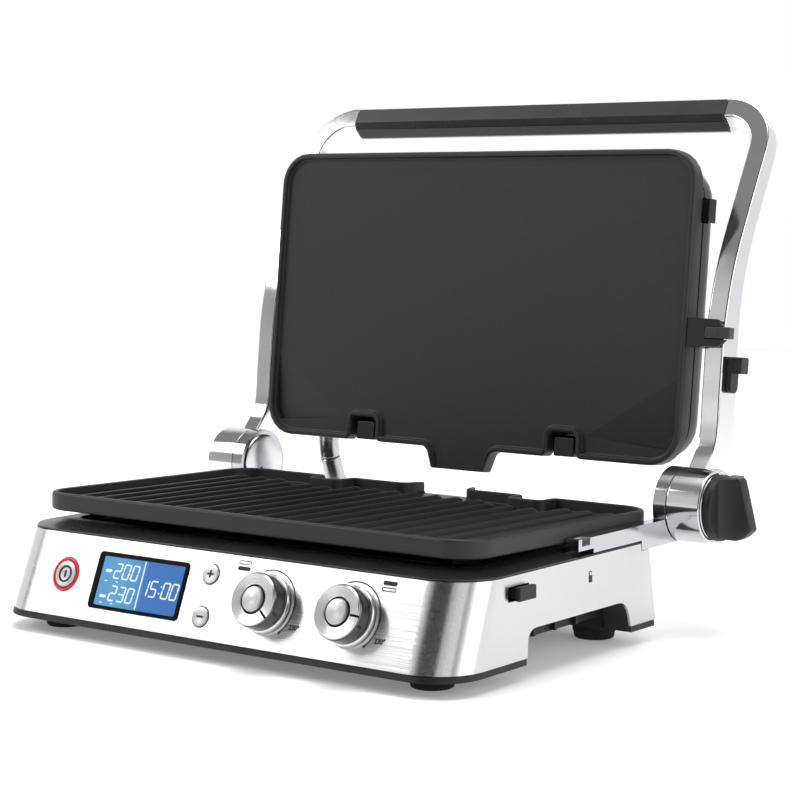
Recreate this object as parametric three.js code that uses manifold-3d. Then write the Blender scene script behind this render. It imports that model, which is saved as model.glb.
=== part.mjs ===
// A contact grill (panini press) with its lid standing open.
// Millimetres, +Z up. While the pieces are drawn, x = 0 is the middle of the grill plates, y = 0 is the
// front rim of the lower plate and z = 0 is a level just under the feet. The finished group is then moved so
// that its origin is at the bottom centre of the whole object.

import * as THREE from "three";
import { mergeVertices } from "three/addons/utils/BufferGeometryUtils.js";
import Module from "manifold-3d";

const wasm = await Module();
wasm.setup();

// ---------------------------------------------------------------- driving dimensions

const GAP = 0.3; // running clearance between neighbouring pieces
const CENTRE = { x: 12, y: 137.5, z: 2.4 }; // bottom centre of the finished object

const PLATE = {
  half: 164, // half of the plate's width
  middle: -2, // x of the plates' middle
  depth: 195,
  thick: 11,
  corner: 21,
  rim: 3.6, // width of the raised rim
  floor: 3.5, // thickness under the cooking face
  rimTop: 82.6, // height of the lower plate's front rim
  slope: 1.35, // degrees, down towards the drain
  ribPitch: 16.1,
  ribsEachSide: 9,
};

const SHELL = {
  bottom: 14.8, // the steel band's lower edge
  top: 61.7,
  halfBottom: 172.6,
  halfTop: 171.4,
  frontBottom: -31.8,
  frontTop: -12.9,
  rearBottom: 175.4,
  rearTop: 169.6,
  corner: 29,
  steel: 1.5,
};

const AXIS = { y: 210.2, z: 79.3, barrel: 22.8, pin: 7 }; // the lid's hinge line

const HEAD = {
  lean: 6.28, // degrees that the raised head leans back
  foot: { y: 217.3, z: 99.8 }, // lower front edge of the upper plate
  half: 159.5,
  thick: 36,
  pivot: { up: 83.5, back: 16.6 }, // the head's own pivot, measured up and back from its foot
};

const ARM = {
  inner: 171.8,
  outer: 184.6,
  depth: 13.5,
  lean: 28.5, // degrees that the upper leg leans back
  bend: 36, // outer radius of the corner into the crossbar
  topFront: { y: 285, z: 294.8 }, // where the upper leg's front face meets the corner
};

const FLOOR_OF_TRAY = 13.9; // inner floor of the base tray
const UNDERSIDE = FLOOR_OF_TRAY - 3;
const PANEL_KNOBS = [39.5, 99]; // x of the two knobs
const PANEL_MIDDLE = 25.5; // height of the knobs up the sloping panel

// ---------------------------------------------------------------- materials

const paint = (color, roughness, metalness) => new THREE.MeshStandardMaterial({ color, roughness, metalness });

const MATERIAL = {
  steel: paint(0xc9c9cb, 0.32, 1),
  chrome: paint(0xe2e3e6, 0.12, 1),
  gloss: paint(0x17171a, 0.22, 0),
  matte: paint(0x232326, 0.6, 0),
  plate: paint(0x3a3a3c, 0.5, 0.2),
  rubber: paint(0x1a1a1a, 0.9, 0),
  alu: paint(0xb5b8bb, 0.4, 1),
  red: paint(0xc81f2d, 0.3, 0),
  glass: paint(0x2f6fc0, 0.1, 0),
  board: paint(0x1d5a3a, 0.6, 0),
  element: paint(0x5b5552, 0.5, 0.8),
};

// ---------------------------------------------------------------- solids

const lerp = (a, b, t) => a + (b - a) * t;
const radians = THREE.MathUtils.degToRad;

function closedMesh(geometry) {
  geometry.deleteAttribute("normal");
  geometry.deleteAttribute("uv");
  const merged = mergeVertices(geometry, 1e-4);
  const index = merged.index.array;
  const position = merged.attributes.position;
  const [a, b, c] = [new THREE.Vector3(), new THREE.Vector3(), new THREE.Vector3()];
  const kept = [];
  let volume = 0;
  for (let i = 0; i < index.length; i += 3) {
    const corners = [index[i], index[i + 1], index[i + 2]];
    if (new Set(corners).size < 3) continue;
    kept.push(corners);
    a.fromBufferAttribute(position, corners[0]);
    b.fromBufferAttribute(position, corners[1]);
    c.fromBufferAttribute(position, corners[2]);
    volume += a.dot(b.cross(c));
  }
  const facingOut = volume > 0 ? kept : kept.map(([p, q, r]) => [p, r, q]);
  return { vertices: new Float32Array(position.array), triangles: new Uint32Array(facingOut.flat()) };
}

function solid(geometry) {
  const { vertices, triangles } = closedMesh(geometry);
  return new wasm.Manifold(new wasm.Mesh({ numProp: 3, vertProperties: vertices, triVerts: triangles }));
}

const join = (...pieces) => pieces.reduce((whole, piece) => whole.add(piece));
const cut = (whole, ...tools) => tools.reduce((rest, tool) => rest.subtract(tool), whole);

function geometryOf(manifold) {
  const { vertProperties, triVerts } = manifold.getMesh();
  const geometry = new THREE.BufferGeometry();
  geometry.setAttribute("position", new THREE.BufferAttribute(new Float32Array(vertProperties), 3));
  geometry.setIndex(new THREE.BufferAttribute(new Uint32Array(triVerts), 1));
  geometry.computeVertexNormals();
  return geometry;
}

function box(x0, x1, y0, y1, z0, z1) {
  const geometry = new THREE.BoxGeometry(x1 - x0, y1 - y0, z1 - z0);
  geometry.translate((x0 + x1) / 2, (y0 + y1) / 2, (z0 + z1) / 2);
  return solid(geometry);
}

// A straight extrusion of a shape from z0 up to z1.
function prism(shape, z0, z1, curveSegments = 8) {
  const geometry = new THREE.ExtrudeGeometry(shape, { depth: z1 - z0, bevelEnabled: false, curveSegments });
  geometry.translate(0, 0, z0);
  return solid(geometry);
}

// A side profile, drawn in y and z, given its width along x.
function slab(shape, x0, x1, curveSegments = 8) {
  const geometry = new THREE.ExtrudeGeometry(shape, { depth: x1 - x0, bevelEnabled: false, curveSegments });
  const toSide = new THREE.Matrix4().makeBasis(
    new THREE.Vector3(0, 1, 0),
    new THREE.Vector3(0, 0, 1),
    new THREE.Vector3(1, 0, 0),
  );
  geometry.applyMatrix4(toSide);
  geometry.translate(x0, 0, 0);
  return solid(geometry);
}

function rodZ(radius, z0, z1, x = 0, y = 0, segments = 28, topRadius = radius) {
  const geometry = new THREE.CylinderGeometry(topRadius, radius, z1 - z0, segments);
  geometry.rotateX(Math.PI / 2);
  geometry.translate(x, y, (z0 + z1) / 2);
  return solid(geometry);
}

function rodX(radius, x0, x1, y, z, segments = 36) {
  const geometry = new THREE.CylinderGeometry(radius, radius, x1 - x0, segments);
  geometry.rotateZ(Math.PI / 2);
  geometry.translate((x0 + x1) / 2, y, z);
  return solid(geometry);
}

function rodY(radius, y0, y1, x, z, segments = 24) {
  const geometry = new THREE.CylinderGeometry(radius, radius, y1 - y0, segments);
  geometry.translate(x, (y0 + y1) / 2, z);
  return solid(geometry);
}

// A turned piece: pairs of radius and height, from the axis and back to it, turned about +Z.
function turned(profile, segments = 28) {
  const points = profile.map(([r, h]) => new THREE.Vector2(r, h));
  const geometry = new THREE.LatheGeometry(points, segments);
  geometry.rotateX(Math.PI / 2);
  return solid(geometry);
}

function tube(points, radius, steps, sides = 8) {
  const path = new THREE.CatmullRomCurve3(points.map((p) => new THREE.Vector3(...p)));
  const section = new THREE.Shape();
  for (let i = 0; i < sides; i++) {
    const turn = (2 * Math.PI * i) / sides;
    const spot = [radius * Math.cos(turn), radius * Math.sin(turn)];
    if (i === 0) section.moveTo(...spot);
    else section.lineTo(...spot);
  }
  return solid(new THREE.ExtrudeGeometry(section, { steps, extrudePath: path, curveSegments: 1 }));
}

function roundedRectangle(x0, x1, y0, y1, r) {
  const shape = new THREE.Shape();
  shape.moveTo(x0 + r, y0);
  shape.lineTo(x1 - r, y0);
  shape.absarc(x1 - r, y0 + r, r, -Math.PI / 2, 0, false);
  shape.lineTo(x1, y1 - r);
  shape.absarc(x1 - r, y1 - r, r, 0, Math.PI / 2, false);
  shape.lineTo(x0 + r, y1);
  shape.absarc(x0 + r, y1 - r, r, Math.PI / 2, Math.PI, false);
  shape.lineTo(x0, y0 + r);
  shape.absarc(x0 + r, y0 + r, r, Math.PI, 1.5 * Math.PI, false);
  return shape;
}

function polygon(points) {
  return new THREE.Shape(points.map(([x, y]) => new THREE.Vector2(x, y)));
}

// A solid drawn in a group's frame, moved into the object's frame.
function moved(manifold, matrix) {
  const geometry = geometryOf(manifold);
  geometry.applyMatrix4(matrix);
  return solid(geometry);
}

// ---------------------------------------------------------------- the assembly

const object = new THREE.Group();
const mirror = { left: -1, right: 1 };

function place(name, manifold, material, parent = object) {
  const mesh = new THREE.Mesh(geometryOf(manifold), material);
  mesh.name = name;
  parent.add(mesh);
}

// Gives the two x limits of a piece on the left or right side, lowest first.
const span = (sign, near, far) => (sign > 0 ? [near, far] : [-far, -near]);

// ---------------------------------------------------------------- base housing

// The base's outline at a given height: square at the rear, round at the front, its front leaning back.
function footprint(z, inset) {
  const level = (z - SHELL.bottom) / (SHELL.top - SHELL.bottom);
  const half = lerp(SHELL.halfBottom, SHELL.halfTop, level) - inset;
  const front = lerp(SHELL.frontBottom, SHELL.frontTop, level) + inset;
  const rear = lerp(SHELL.rearBottom, SHELL.rearTop, level) - inset;
  const radius = SHELL.corner - inset;
  const corners = [[-half + radius, Math.PI], [half - radius, 1.5 * Math.PI]];
  const steps = 6;
  const outline = [new THREE.Vector2(half, rear), new THREE.Vector2(-half, rear)];
  for (const [x, start] of corners) {
    for (let i = 0; i <= steps; i++) {
      const turn = start + (i / steps) * (Math.PI / 2);
      outline.push(new THREE.Vector2(x + radius * Math.cos(turn), front + radius + radius * Math.sin(turn)));
    }
  }
  return outline;
}

// A closed block between two heights whose outline follows the base's footprint.
function baseBlock(zLow, zHigh, insetLow, insetHigh = insetLow) {
  const low = footprint(zLow, insetLow);
  const high = footprint(zHigh, insetHigh);
  const count = low.length;
  const positions = [...low.flatMap((p) => [p.x, p.y, zLow]), ...high.flatMap((p) => [p.x, p.y, zHigh])];
  const triangles = [];
  for (const [a, b, c] of THREE.ShapeUtils.triangulateShape(low, [])) {
    triangles.push(a, c, b, count + a, count + b, count + c);
  }
  for (let i = 0; i < count; i++) {
    const next = (i + 1) % count;
    triangles.push(i, next, count + next, i, count + next, count + i);
  }
  const geometry = new THREE.BufferGeometry();
  geometry.setAttribute("position", new THREE.Float32BufferAttribute(positions, 3));
  geometry.setIndex(triangles);
  return solid(geometry);
}

const RECESS = { y0: 38, y1: 152, top: 30.4, deep: 17, corner: 9 }; // hand recess in each side
const RELEASE = { y0: 25.5, y1: 41.5, z0: 48.2, z1: 55.8 }; // plate release button in the right side
const TRAY = { half: 95, y0: 45, y1: 216, z0: 14.5, z1: 36.6, wall: 2 };
const TUNNEL = { near: 100, y0: 38, y1: 146, top: 19 }; // open space under the hand recesses
const NOTCH = { y: 160.5, z: 57.2 }; // where the hinge bracket passes over the rear corners
const BRACKET = { inner: 163, outer: 171.5 };

// The hand recess seen from the side, open downwards, with rounded upper corners.
function recessProfile(grow = 0) {
  const { y0, y1, top, corner } = RECESS;
  const shape = new THREE.Shape();
  shape.moveTo(y0 - grow, 0);
  shape.lineTo(y1 + grow, 0);
  shape.lineTo(y1 - 6 + grow, top - corner);
  shape.quadraticCurveTo(y1 - 9 + grow, top + grow, y1 - 18 + grow, top + grow);
  shape.lineTo(y0 + 11 - grow, top + grow);
  shape.quadraticCurveTo(y0 + 2 - grow, top + grow, y0 + 2 - grow, top - corner);
  return shape;
}

// A group on the sloping front panel: x across, y up the panel, z straight out of it.
const panelLean = Math.atan2(SHELL.top - SHELL.bottom, SHELL.frontTop - SHELL.frontBottom);
const panel = new THREE.Group();
panel.position.set(0, SHELL.frontBottom, SHELL.bottom);
panel.rotation.x = panelLean;
object.add(panel);
panel.updateMatrix();

const onPanel = (tool) => moved(tool, panel.matrix);

const LCD = { x0: -94.9, x1: -23.3, y0: 8.2, y1: 42.3, corner: 2.5 };
const POWER = { x: -119, radius: 10.4, cap: 8.2 };
const SMALL_BUTTONS = { plus_button: { x: -6, y: 37.8 }, minus_button: { x: -6, y: 12.8 } };
const SMALL_RADIUS = 5.8;

function steelWrap() {
  const band = cut(
    baseBlock(SHELL.bottom, SHELL.top, 0),
    baseBlock(SHELL.bottom - 5, SHELL.top + 5, SHELL.steel),
    box(-168, 168, SHELL.rearTop - 8, SHELL.rearBottom + 5, 0, 80),
  );
  const through = [-6, 4];
  const panelHoles = [
    prism(roundedRectangle(LCD.x0 - GAP, LCD.x1 + GAP, LCD.y0 - GAP, LCD.y1 + GAP, LCD.corner), ...through, 3),
    rodZ(POWER.radius + GAP, ...through, POWER.x, PANEL_MIDDLE),
    ...Object.values(SMALL_BUTTONS).map(({ x, y }) => rodZ(SMALL_RADIUS + GAP, ...through, x, y)),
    ...PANEL_KNOBS.map((x) => rodZ(4.5, ...through, x, PANEL_MIDDLE, 20)),
  ];
  const sideHoles = [
    slab(recessProfile(), -200, 200),
    box(160, 180, RELEASE.y0 - 4, RELEASE.y1 + GAP, RELEASE.z0 - GAP, RELEASE.z1 + GAP),
    box(-200, 200, NOTCH.y, 190, NOTCH.z, 80),
  ];
  return cut(band, ...panelHoles.map(onPanel), ...sideHoles);
}
place("steel_wrap", steelWrap(), MATERIAL.steel);

function baseTray() {
  const wall = 2.6;
  const inset = SHELL.steel + 0.4;
  const { near, y0, y1, top } = TUNNEL;
  const far = 170 - RECESS.deep;
  const shell = cut(
    baseBlock(UNDERSIDE, 57, inset),
    baseBlock(FLOOR_OF_TRAY, 70, inset + wall),
  );
  const flange = cut(
    baseBlock(UNDERSIDE, SHELL.bottom - GAP, 0.5),
    baseBlock(0, 40, inset + wall),
  );
  const pockets = [-1, 1].map((sign) => {
    const [x0, x1] = span(sign, far - wall, 170.4);
    return slab(recessProfile(wall), x0, x1);
  });
  const tunnelRoofs = [-1, 1].map((sign) => box(...span(sign, near - 2, far), y0 - 2, y1 + 2, UNDERSIDE, top + 2.4));
  const tunnels = [-1, 1].map((sign) => box(...span(sign, near, far), y0, y1, 0, top));
  const hollows = [-1, 1].map((sign) => slab(recessProfile(), ...span(sign, far, 190)));
  const fins = [-1, 1].flatMap((sign) =>
    [70, 92, 114].map((y) => box(...span(sign, 152.8, 156), y, y + 2.4, top + 0.5, RECESS.top + 0.5)),
  );
  const openings = [
    ...tunnels,
    box(-TRAY.half - 1, TRAY.half + 1, 160, 190, FLOOR_OF_TRAY, TRAY.z1 + 2.4),
    box(-136, 128, -60, -5, 18.5, 70),
    box(160, 180, RELEASE.y0 - 4, RELEASE.y1 + GAP, RELEASE.z0 - GAP, RELEASE.z1 + GAP),
    box(-200, -BRACKET.inner + 1, NOTCH.y, 190, NOTCH.z - GAP, 80),
    box(BRACKET.inner - 1, 200, NOTCH.y, 190, NOTCH.z - GAP, 80),
    rodY(CONDUIT.radius + 1, 160, 190, CONDUIT.x, CONDUIT.exit.z),
    rodY(7, 160, 190, GLAND.x, GLAND.z),
  ];
  const belowFloor = box(-300, 300, -300, 300, -10, UNDERSIDE);
  const walls = cut(join(shell, flange, ...tunnelRoofs, ...pockets), ...hollows);
  return cut(join(walls, ...fins), ...openings, belowFloor);
}

const CONDUIT = { x: -127, radius: 7, exit: { y: 176, z: 30 }, knee: { y: 240, z: 84 }, top: { y: 239.6, z: 101 } };
const GLAND = { x: -152, z: 46 };
place("base_tray", baseTray(), MATERIAL.matte);

const WELL = { half: 150, y0: 9, y1: 150, floor: 48.5, wall: 2.2 };

function deckCover() {
  const lip = baseBlock(SHELL.top + GAP, SHELL.top + 1.3, 0.2);
  const slope = baseBlock(SHELL.top + 1.2, 66, 0.2, 15);
  const skirt = baseBlock(57.4, SHELL.top + 1.2, SHELL.steel + 0.4);
  const well = prism(
    roundedRectangle(-WELL.half, WELL.half, WELL.y0, WELL.y1, 14), WELL.floor - WELL.wall, 64, 3);
  const inside = prism(
    roundedRectangle(-WELL.half + WELL.wall, WELL.half - WELL.wall, WELL.y0 + WELL.wall, WELL.y1 - WELL.wall, 12),
    WELL.floor, 80, 3);
  const channels = [-1, 1].flatMap((sign) => [
    box(...span(sign, BRACKET.inner - GAP, 200), 91, 190, SHELL.top + 1, 80),
    box(...span(sign, BRACKET.inner - GAP, 200), NOTCH.y, 190, 50, 80),
  ]);
  const underside = cut(
    baseBlock(50, 60, 5),
    prism(roundedRectangle(-WELL.half - 4, WELL.half + 4, WELL.y0 - 4, WELL.y1 + 4, 14), 40, 70, 3),
  );
  return cut(join(lip, slope, skirt, well), inside, underside, ...channels);
}
place("deck_cover", deckCover(), MATERIAL.gloss);

const FEET = { x: 139.3, front: -2.7, rear: 161, radius: 11.8, rootRadius: 13 };
for (const [side, sign] of Object.entries(mirror)) {
  for (const end of ["front", "rear"]) {
    const foot = rodZ(FEET.radius, CENTRE.z, UNDERSIDE - GAP, sign * FEET.x, FEET[end], 24, FEET.rootRadius);
    place(`foot_${end}_${side}`, foot, MATERIAL.rubber);
  }
}

function dripTray() {
  const { half, y0, y1, z0, z1, wall } = TRAY;
  const body = prism(roundedRectangle(-half, half, y0, y1, 8), z0, z1, 4);
  const inside = prism(roundedRectangle(-half + wall, half - wall, y0 + wall, y1 - wall, 6), z0 + wall, 90, 4);
  const pull = box(-30, 30, y1 - 1, y1 + 7, z1 - 3, z1);
  return cut(join(body, pull), inside);
}
place("drip_tray", dripTray(), MATERIAL.matte);

place("cord_gland", cut(
  join(rodY(6.6, 171, 184, GLAND.x, GLAND.z, 16), rodY(9, 176, 178.5, GLAND.x, GLAND.z, 16)),
  rodY(3.6, 160, 190, GLAND.x, GLAND.z, 12),
), MATERIAL.rubber);

// ---------------------------------------------------------------- hinge

function bracketProfile() {
  const { y, z, barrel } = AXIS;
  const shape = new THREE.Shape();
  shape.moveTo(92, 66);
  shape.lineTo(108, 66);
  shape.lineTo(108, 63.4);
  shape.lineTo(NOTCH.y + 0.6, 63.4);
  shape.lineTo(NOTCH.y + 0.6, NOTCH.z + 0.4);
  shape.lineTo(y - 8, NOTCH.z + 0.4);
  shape.lineTo(y, z);
  shape.lineTo(y - barrel + 1, 72.6);
  shape.lineTo(92, 72.6);
  return shape;
}

for (const [side, sign] of Object.entries(mirror)) {
  const { y, z, barrel, pin } = AXIS;
  const ring = rodX(barrel, ...span(sign, BRACKET.inner, BRACKET.outer), y, z, 36);
  const barInner = side === "left" ? PLATE.half - PLATE.middle + 0.6 : BRACKET.inner;
  const bar = slab(bracketProfile(), ...span(sign, barInner, BRACKET.outer));
  const hookGap = box(...span(sign, barInner + 2.6, BRACKET.outer + 1), 95.5, 104, 68.5, 80);
  const bore = rodX(pin + GAP, -300, 300, y, z, 16);
  place(`hinge_bracket_${side}`, cut(join(ring, bar), bore, hookGap), MATERIAL.chrome);
  place(`hinge_pin_${side}`, rodX(pin, ...span(sign, BRACKET.inner + 0.5, 190), y, z, 16), MATERIAL.alu);
  const capFace = rodX(19.6, ...span(sign, BRACKET.inner - 2.4, BRACKET.inner - GAP), y, z, 28);
  const screwHole = rodX(1.6, ...span(sign, 0, BRACKET.inner - 1.2), y - 4, z - 4, 12);
  place(`hinge_cap_${side}`, cut(capFace, screwHole), MATERIAL.chrome);
}

function lockKnob() {
  const { y, z } = AXIS;
  const disc = rodX(20, 194.4, 199.5, y, z, 28);
  const grip = slab(roundedRectangle(y - 3, y + 9, z - 18.5, z + 18.5, 3), 199, 217.5, 3);
  const stub = rodX(5.5, 190.6, 194.6, y, z, 12);
  return join(disc, grip, stub);
}
place("hinge_lock_knob", lockKnob(), MATERIAL.matte);

// ---------------------------------------------------------------- arms, handle

// The arm's front and rear edges seen from the side, from the barrel up to the crossbar's corner.
const armUp = [Math.sin(radians(ARM.lean)), Math.cos(radians(ARM.lean))];
const armBack = [armUp[1], -armUp[0]];
const topRear = [ARM.topFront.y + ARM.depth * armBack[0], ARM.topFront.z + ARM.depth * armBack[1]];

function armProfile() {
  const front = new THREE.SplineCurve([
    new THREE.Vector2(212, 99),
    new THREE.Vector2(225.6, 117),
    new THREE.Vector2(229.4, 146),
    new THREE.Vector2(234.6, 186),
    new THREE.Vector2(246, 223),
    new THREE.Vector2(265.3, 260),
    new THREE.Vector2(ARM.topFront.y, ARM.topFront.z),
  ]);
  const rear = new THREE.SplineCurve([
    new THREE.Vector2(...topRear),
    new THREE.Vector2(279, 256.5),
    new THREE.Vector2(262, 222),
    new THREE.Vector2(253, 186),
    new THREE.Vector2(250.2, 146),
    new THREE.Vector2(247.2, 115),
    new THREE.Vector2(241, 92),
    new THREE.Vector2(230, 76),
  ]);
  return new THREE.Shape([...front.getPoints(14), ...rear.getPoints(14)]);
}

// The corner between an arm and the crossbar, drawn flat and then leaned back with the arm.
function armCorner(sign) {
  const { bend, outer, inner, depth } = ARM;
  const inset = 0.15;
  const innerRadius = bend - (outer - inner) + inset;
  const x = sign * (outer - bend);
  const from = sign > 0 ? 0 : Math.PI;
  const shape = new THREE.Shape();
  shape.absarc(x, 0, bend - inset, from, Math.PI / 2, sign < 0);
  shape.absarc(x, 0, innerRadius, Math.PI / 2, from, sign > 0);
  const width = depth - 2 * inset;
  const geometry = new THREE.ExtrudeGeometry(shape, { depth: width, bevelEnabled: false, curveSegments: 8 });
  geometry.translate(0, -0.8, inset - depth);
  geometry.rotateX(Math.PI / 2 - radians(ARM.lean));
  geometry.translate(0, ARM.topFront.y, ARM.topFront.z);
  return solid(geometry);
}

// A group in the leaning handle plane: x across, y up the arm from the corner, z towards the front.
const handle = new THREE.Group();
handle.position.set(0, ARM.topFront.y, ARM.topFront.z);
handle.rotation.x = Math.PI / 2 - radians(ARM.lean);
object.add(handle);
handle.updateMatrix();

const CROSS = { half: ARM.outer - ARM.bend, y0: ARM.bend - (ARM.outer - ARM.inner), y1: ARM.bend };

// A section drawn in the handle's y and z, given its width along x.
const crossSlab = (points, x0, x1) => slab(polygon(points), x0, x1);

// The crossbar's deeper end, which fills the inside of the corner behind the grip.
function crossbarEnd(sign) {
  const near = sign * (CROSS.half + 0.2);
  const far = sign * (CROSS.half + 13);
  return moved(prism(polygon([[near, 18.6], [far, 20], [far, 24], [near, 35.3]]), -13, -0.4), handle.matrix);
}

// A group on the right arm's outer face: x to the rear, y up the arm, z straight out.
const armFace = new THREE.Group();
const lowerLean = radians(6.9);
armFace.matrixAutoUpdate = false;
armFace.matrix.makeBasis(
  new THREE.Vector3(0, Math.cos(lowerLean), -Math.sin(lowerLean)),
  new THREE.Vector3(0, Math.sin(lowerLean), Math.cos(lowerLean)),
  new THREE.Vector3(1, 0, 0),
);
armFace.matrix.setPosition(ARM.outer + GAP, 242.6, 167);
object.add(armFace);

for (const [side, sign] of Object.entries(mirror)) {
  const { y, z, barrel, pin } = AXIS;
  const leg = slab(armProfile(), ...span(sign, ARM.inner, ARM.outer), 1);
  const drum = rodX(barrel, ...span(sign, ARM.inner, 194), y, z, 36);
  const bore = rodX(pin + GAP, ...span(sign, 160, side === "right" ? 210 : 191), y, z, 16);
  const pivotHole = rodX(4.3, ...span(sign, 160, 181.4), headPoint(HEAD.pivot).y, headPoint(HEAD.pivot).z, 20);
  const sliderSlot = moved(box(-2, 2, -14, 7, -3.2, 3), armFace.matrix);
  const whole = cut(join(leg, drum, armCorner(sign), crossbarEnd(sign)), bore, pivotHole);
  place(`${side}_arm`, side === "right" ? cut(whole, sliderSlot) : whole, MATERIAL.chrome);
}

const CORE = { y0: 22, y1: 31.5, z0: 1 - ARM.depth, z1: -2 };
place("handle_core", box(
  -CROSS.half + GAP, CROSS.half - GAP, CORE.y0, CORE.y1, CORE.z0, CORE.z1,
), MATERIAL.alu, handle);

function handleGrip() {
  const half = CROSS.half - GAP;
  const whole = crossSlab([
    [24, 0.9], [34.9, 0.9], [34.9, -13], [31, -18.5], [21, -18], [17.4, -10.5], [19.8, -2.2],
  ], -half, half);
  const tunnel = box(-half - 5, half + 5, CORE.y0 - GAP, CORE.y1 + GAP, CORE.z0 - GAP, CORE.z1 + GAP);
  return cut(whole, tunnel);
}
place("handle_grip", handleGrip(), MATERIAL.gloss, handle);

function heightLock() {
  const plate = prism(roundedRectangle(-4.6, 4.6, -22, 0, 4.3), 0, 3.2, 5);
  const thumb = prism(roundedRectangle(-4.4, 4.4, -10, 0, 1.4), 2, 9.5, 3);
  const tongue = box(-1.7, 1.7, -13, -3, -2.8, 1);
  return join(plate, thumb, tongue);
}
place("height_lock", heightLock(), MATERIAL.matte, armFace);

// ---------------------------------------------------------------- head

// A point measured up and back from the head's foot, in the object's frame.
function headPoint({ up, back }) {
  const lean = radians(HEAD.lean);
  return {
    y: HEAD.foot.y + up * Math.sin(lean) + back * Math.cos(lean),
    z: HEAD.foot.z + up * Math.cos(lean) - back * Math.sin(lean),
  };
}

// A group on the head: x across, y up the head, z out of the cooking face.
const head = new THREE.Group();
head.position.set(0, HEAD.foot.y, HEAD.foot.z);
head.rotation.x = Math.PI / 2 - radians(HEAD.lean);
object.add(head);

const CLIP = { x: 79.5, half: 11, deep: 16 }; // notches in the plates' rear edge
const SPOUT = { half: 25, tip: 21, reach: 14 };

// A plate's outline with its rear notches and drain spout; y = 0 is the front edge.
function plateOutline(inset, spoutReach) {
  const half = PLATE.half - inset;
  const front = inset;
  const rear = PLATE.depth - inset;
  const r = PLATE.corner - inset;
  const notch = CLIP.half + inset;
  const notchDepth = CLIP.deep + inset;
  const shape = new THREE.Shape();
  shape.moveTo(-half + r, front);
  shape.lineTo(half - r, front);
  shape.absarc(half - r, front + r, r, -Math.PI / 2, 0, false);
  shape.lineTo(half, rear - r);
  shape.absarc(half - r, rear - r, r, 0, Math.PI / 2, false);
  shape.lineTo(CLIP.x + notch, rear);
  shape.lineTo(CLIP.x + notch - 1, PLATE.depth - notchDepth);
  shape.lineTo(CLIP.x - notch + 1, PLATE.depth - notchDepth);
  shape.lineTo(CLIP.x - notch, rear);
  shape.lineTo(SPOUT.half - inset, rear);
  shape.lineTo(SPOUT.tip - inset, PLATE.depth + spoutReach);
  shape.lineTo(-SPOUT.tip + inset, PLATE.depth + spoutReach);
  shape.lineTo(-SPOUT.half + inset, rear);
  shape.lineTo(-CLIP.x + notch, rear);
  shape.lineTo(-CLIP.x + notch - 1, PLATE.depth - notchDepth);
  shape.lineTo(-CLIP.x - notch + 1, PLATE.depth - notchDepth);
  shape.lineTo(-CLIP.x - notch, rear);
  shape.lineTo(-half + r, rear);
  shape.absarc(-half + r, rear - r, r, Math.PI / 2, Math.PI, false);
  shape.lineTo(-half, front + r);
  shape.absarc(-half + r, front + r, r, Math.PI, 1.5 * Math.PI, false);
  return shape;
}

// A removable plate lying in its own frame: rim top at z = 0, cooking side up, front edge at y = 0.
function grillPlate(recess, ribHeight) {
  const body = prism(plateOutline(0, SPOUT.reach), -PLATE.thick, 0, 6);
  const basin = prism(plateOutline(PLATE.rim, SPOUT.reach + 10), -recess, 5, 6);
  const floorBottom = -recess - PLATE.floor;
  const hollow = prism(roundedRectangle(-150, 150, 10, PLATE.depth - 30, 16), -PLATE.thick - 5, floorBottom, 5);
  const pan = floorBottom > -PLATE.thick ? cut(body, basin, hollow) : cut(body, basin);
  if (ribHeight === 0) return pan;
  const ribs = [];
  for (let i = -PLATE.ribsEachSide; i <= PLATE.ribsEachSide; i++) {
    const x = i * PLATE.ribPitch;
    const foot = 3;
    const crest = 1;
    const section = polygon([
      [x - foot, -recess - 0.5], [x + foot, -recess - 0.5], [x + crest, ribHeight - recess],
      [x - crest, ribHeight - recess]]);
    const start = Math.abs(x) > PLATE.half - PLATE.corner ? 14 : 8;
    const end = Math.abs(Math.abs(x) - CLIP.x) < 20 ? 168 : 178;
    const geometry = new THREE.ExtrudeGeometry(section, { depth: end - start, bevelEnabled: false });
    geometry.rotateX(Math.PI / 2);
    geometry.translate(0, end, 0);
    ribs.push(solid(geometry));
  }
  return join(pan, ...ribs);
}

const lowerBed = new THREE.Group();
lowerBed.position.set(PLATE.middle, 0, PLATE.rimTop);
lowerBed.rotation.x = -radians(PLATE.slope);
object.add(lowerBed);
place("lower_plate", grillPlate(7.5, 5), MATERIAL.plate, lowerBed);

const upperBed = new THREE.Group();
upperBed.position.set(PLATE.middle, PLATE.depth, 0);
upperBed.rotation.z = Math.PI;
head.add(upperBed);
place("upper_plate", grillPlate(3.5, 0), MATERIAL.plate, upperBed);

const HOUSING = { face: -12.4, wall: 2.6, y0: 3, y1: 188.5, corner: 24 };

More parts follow.
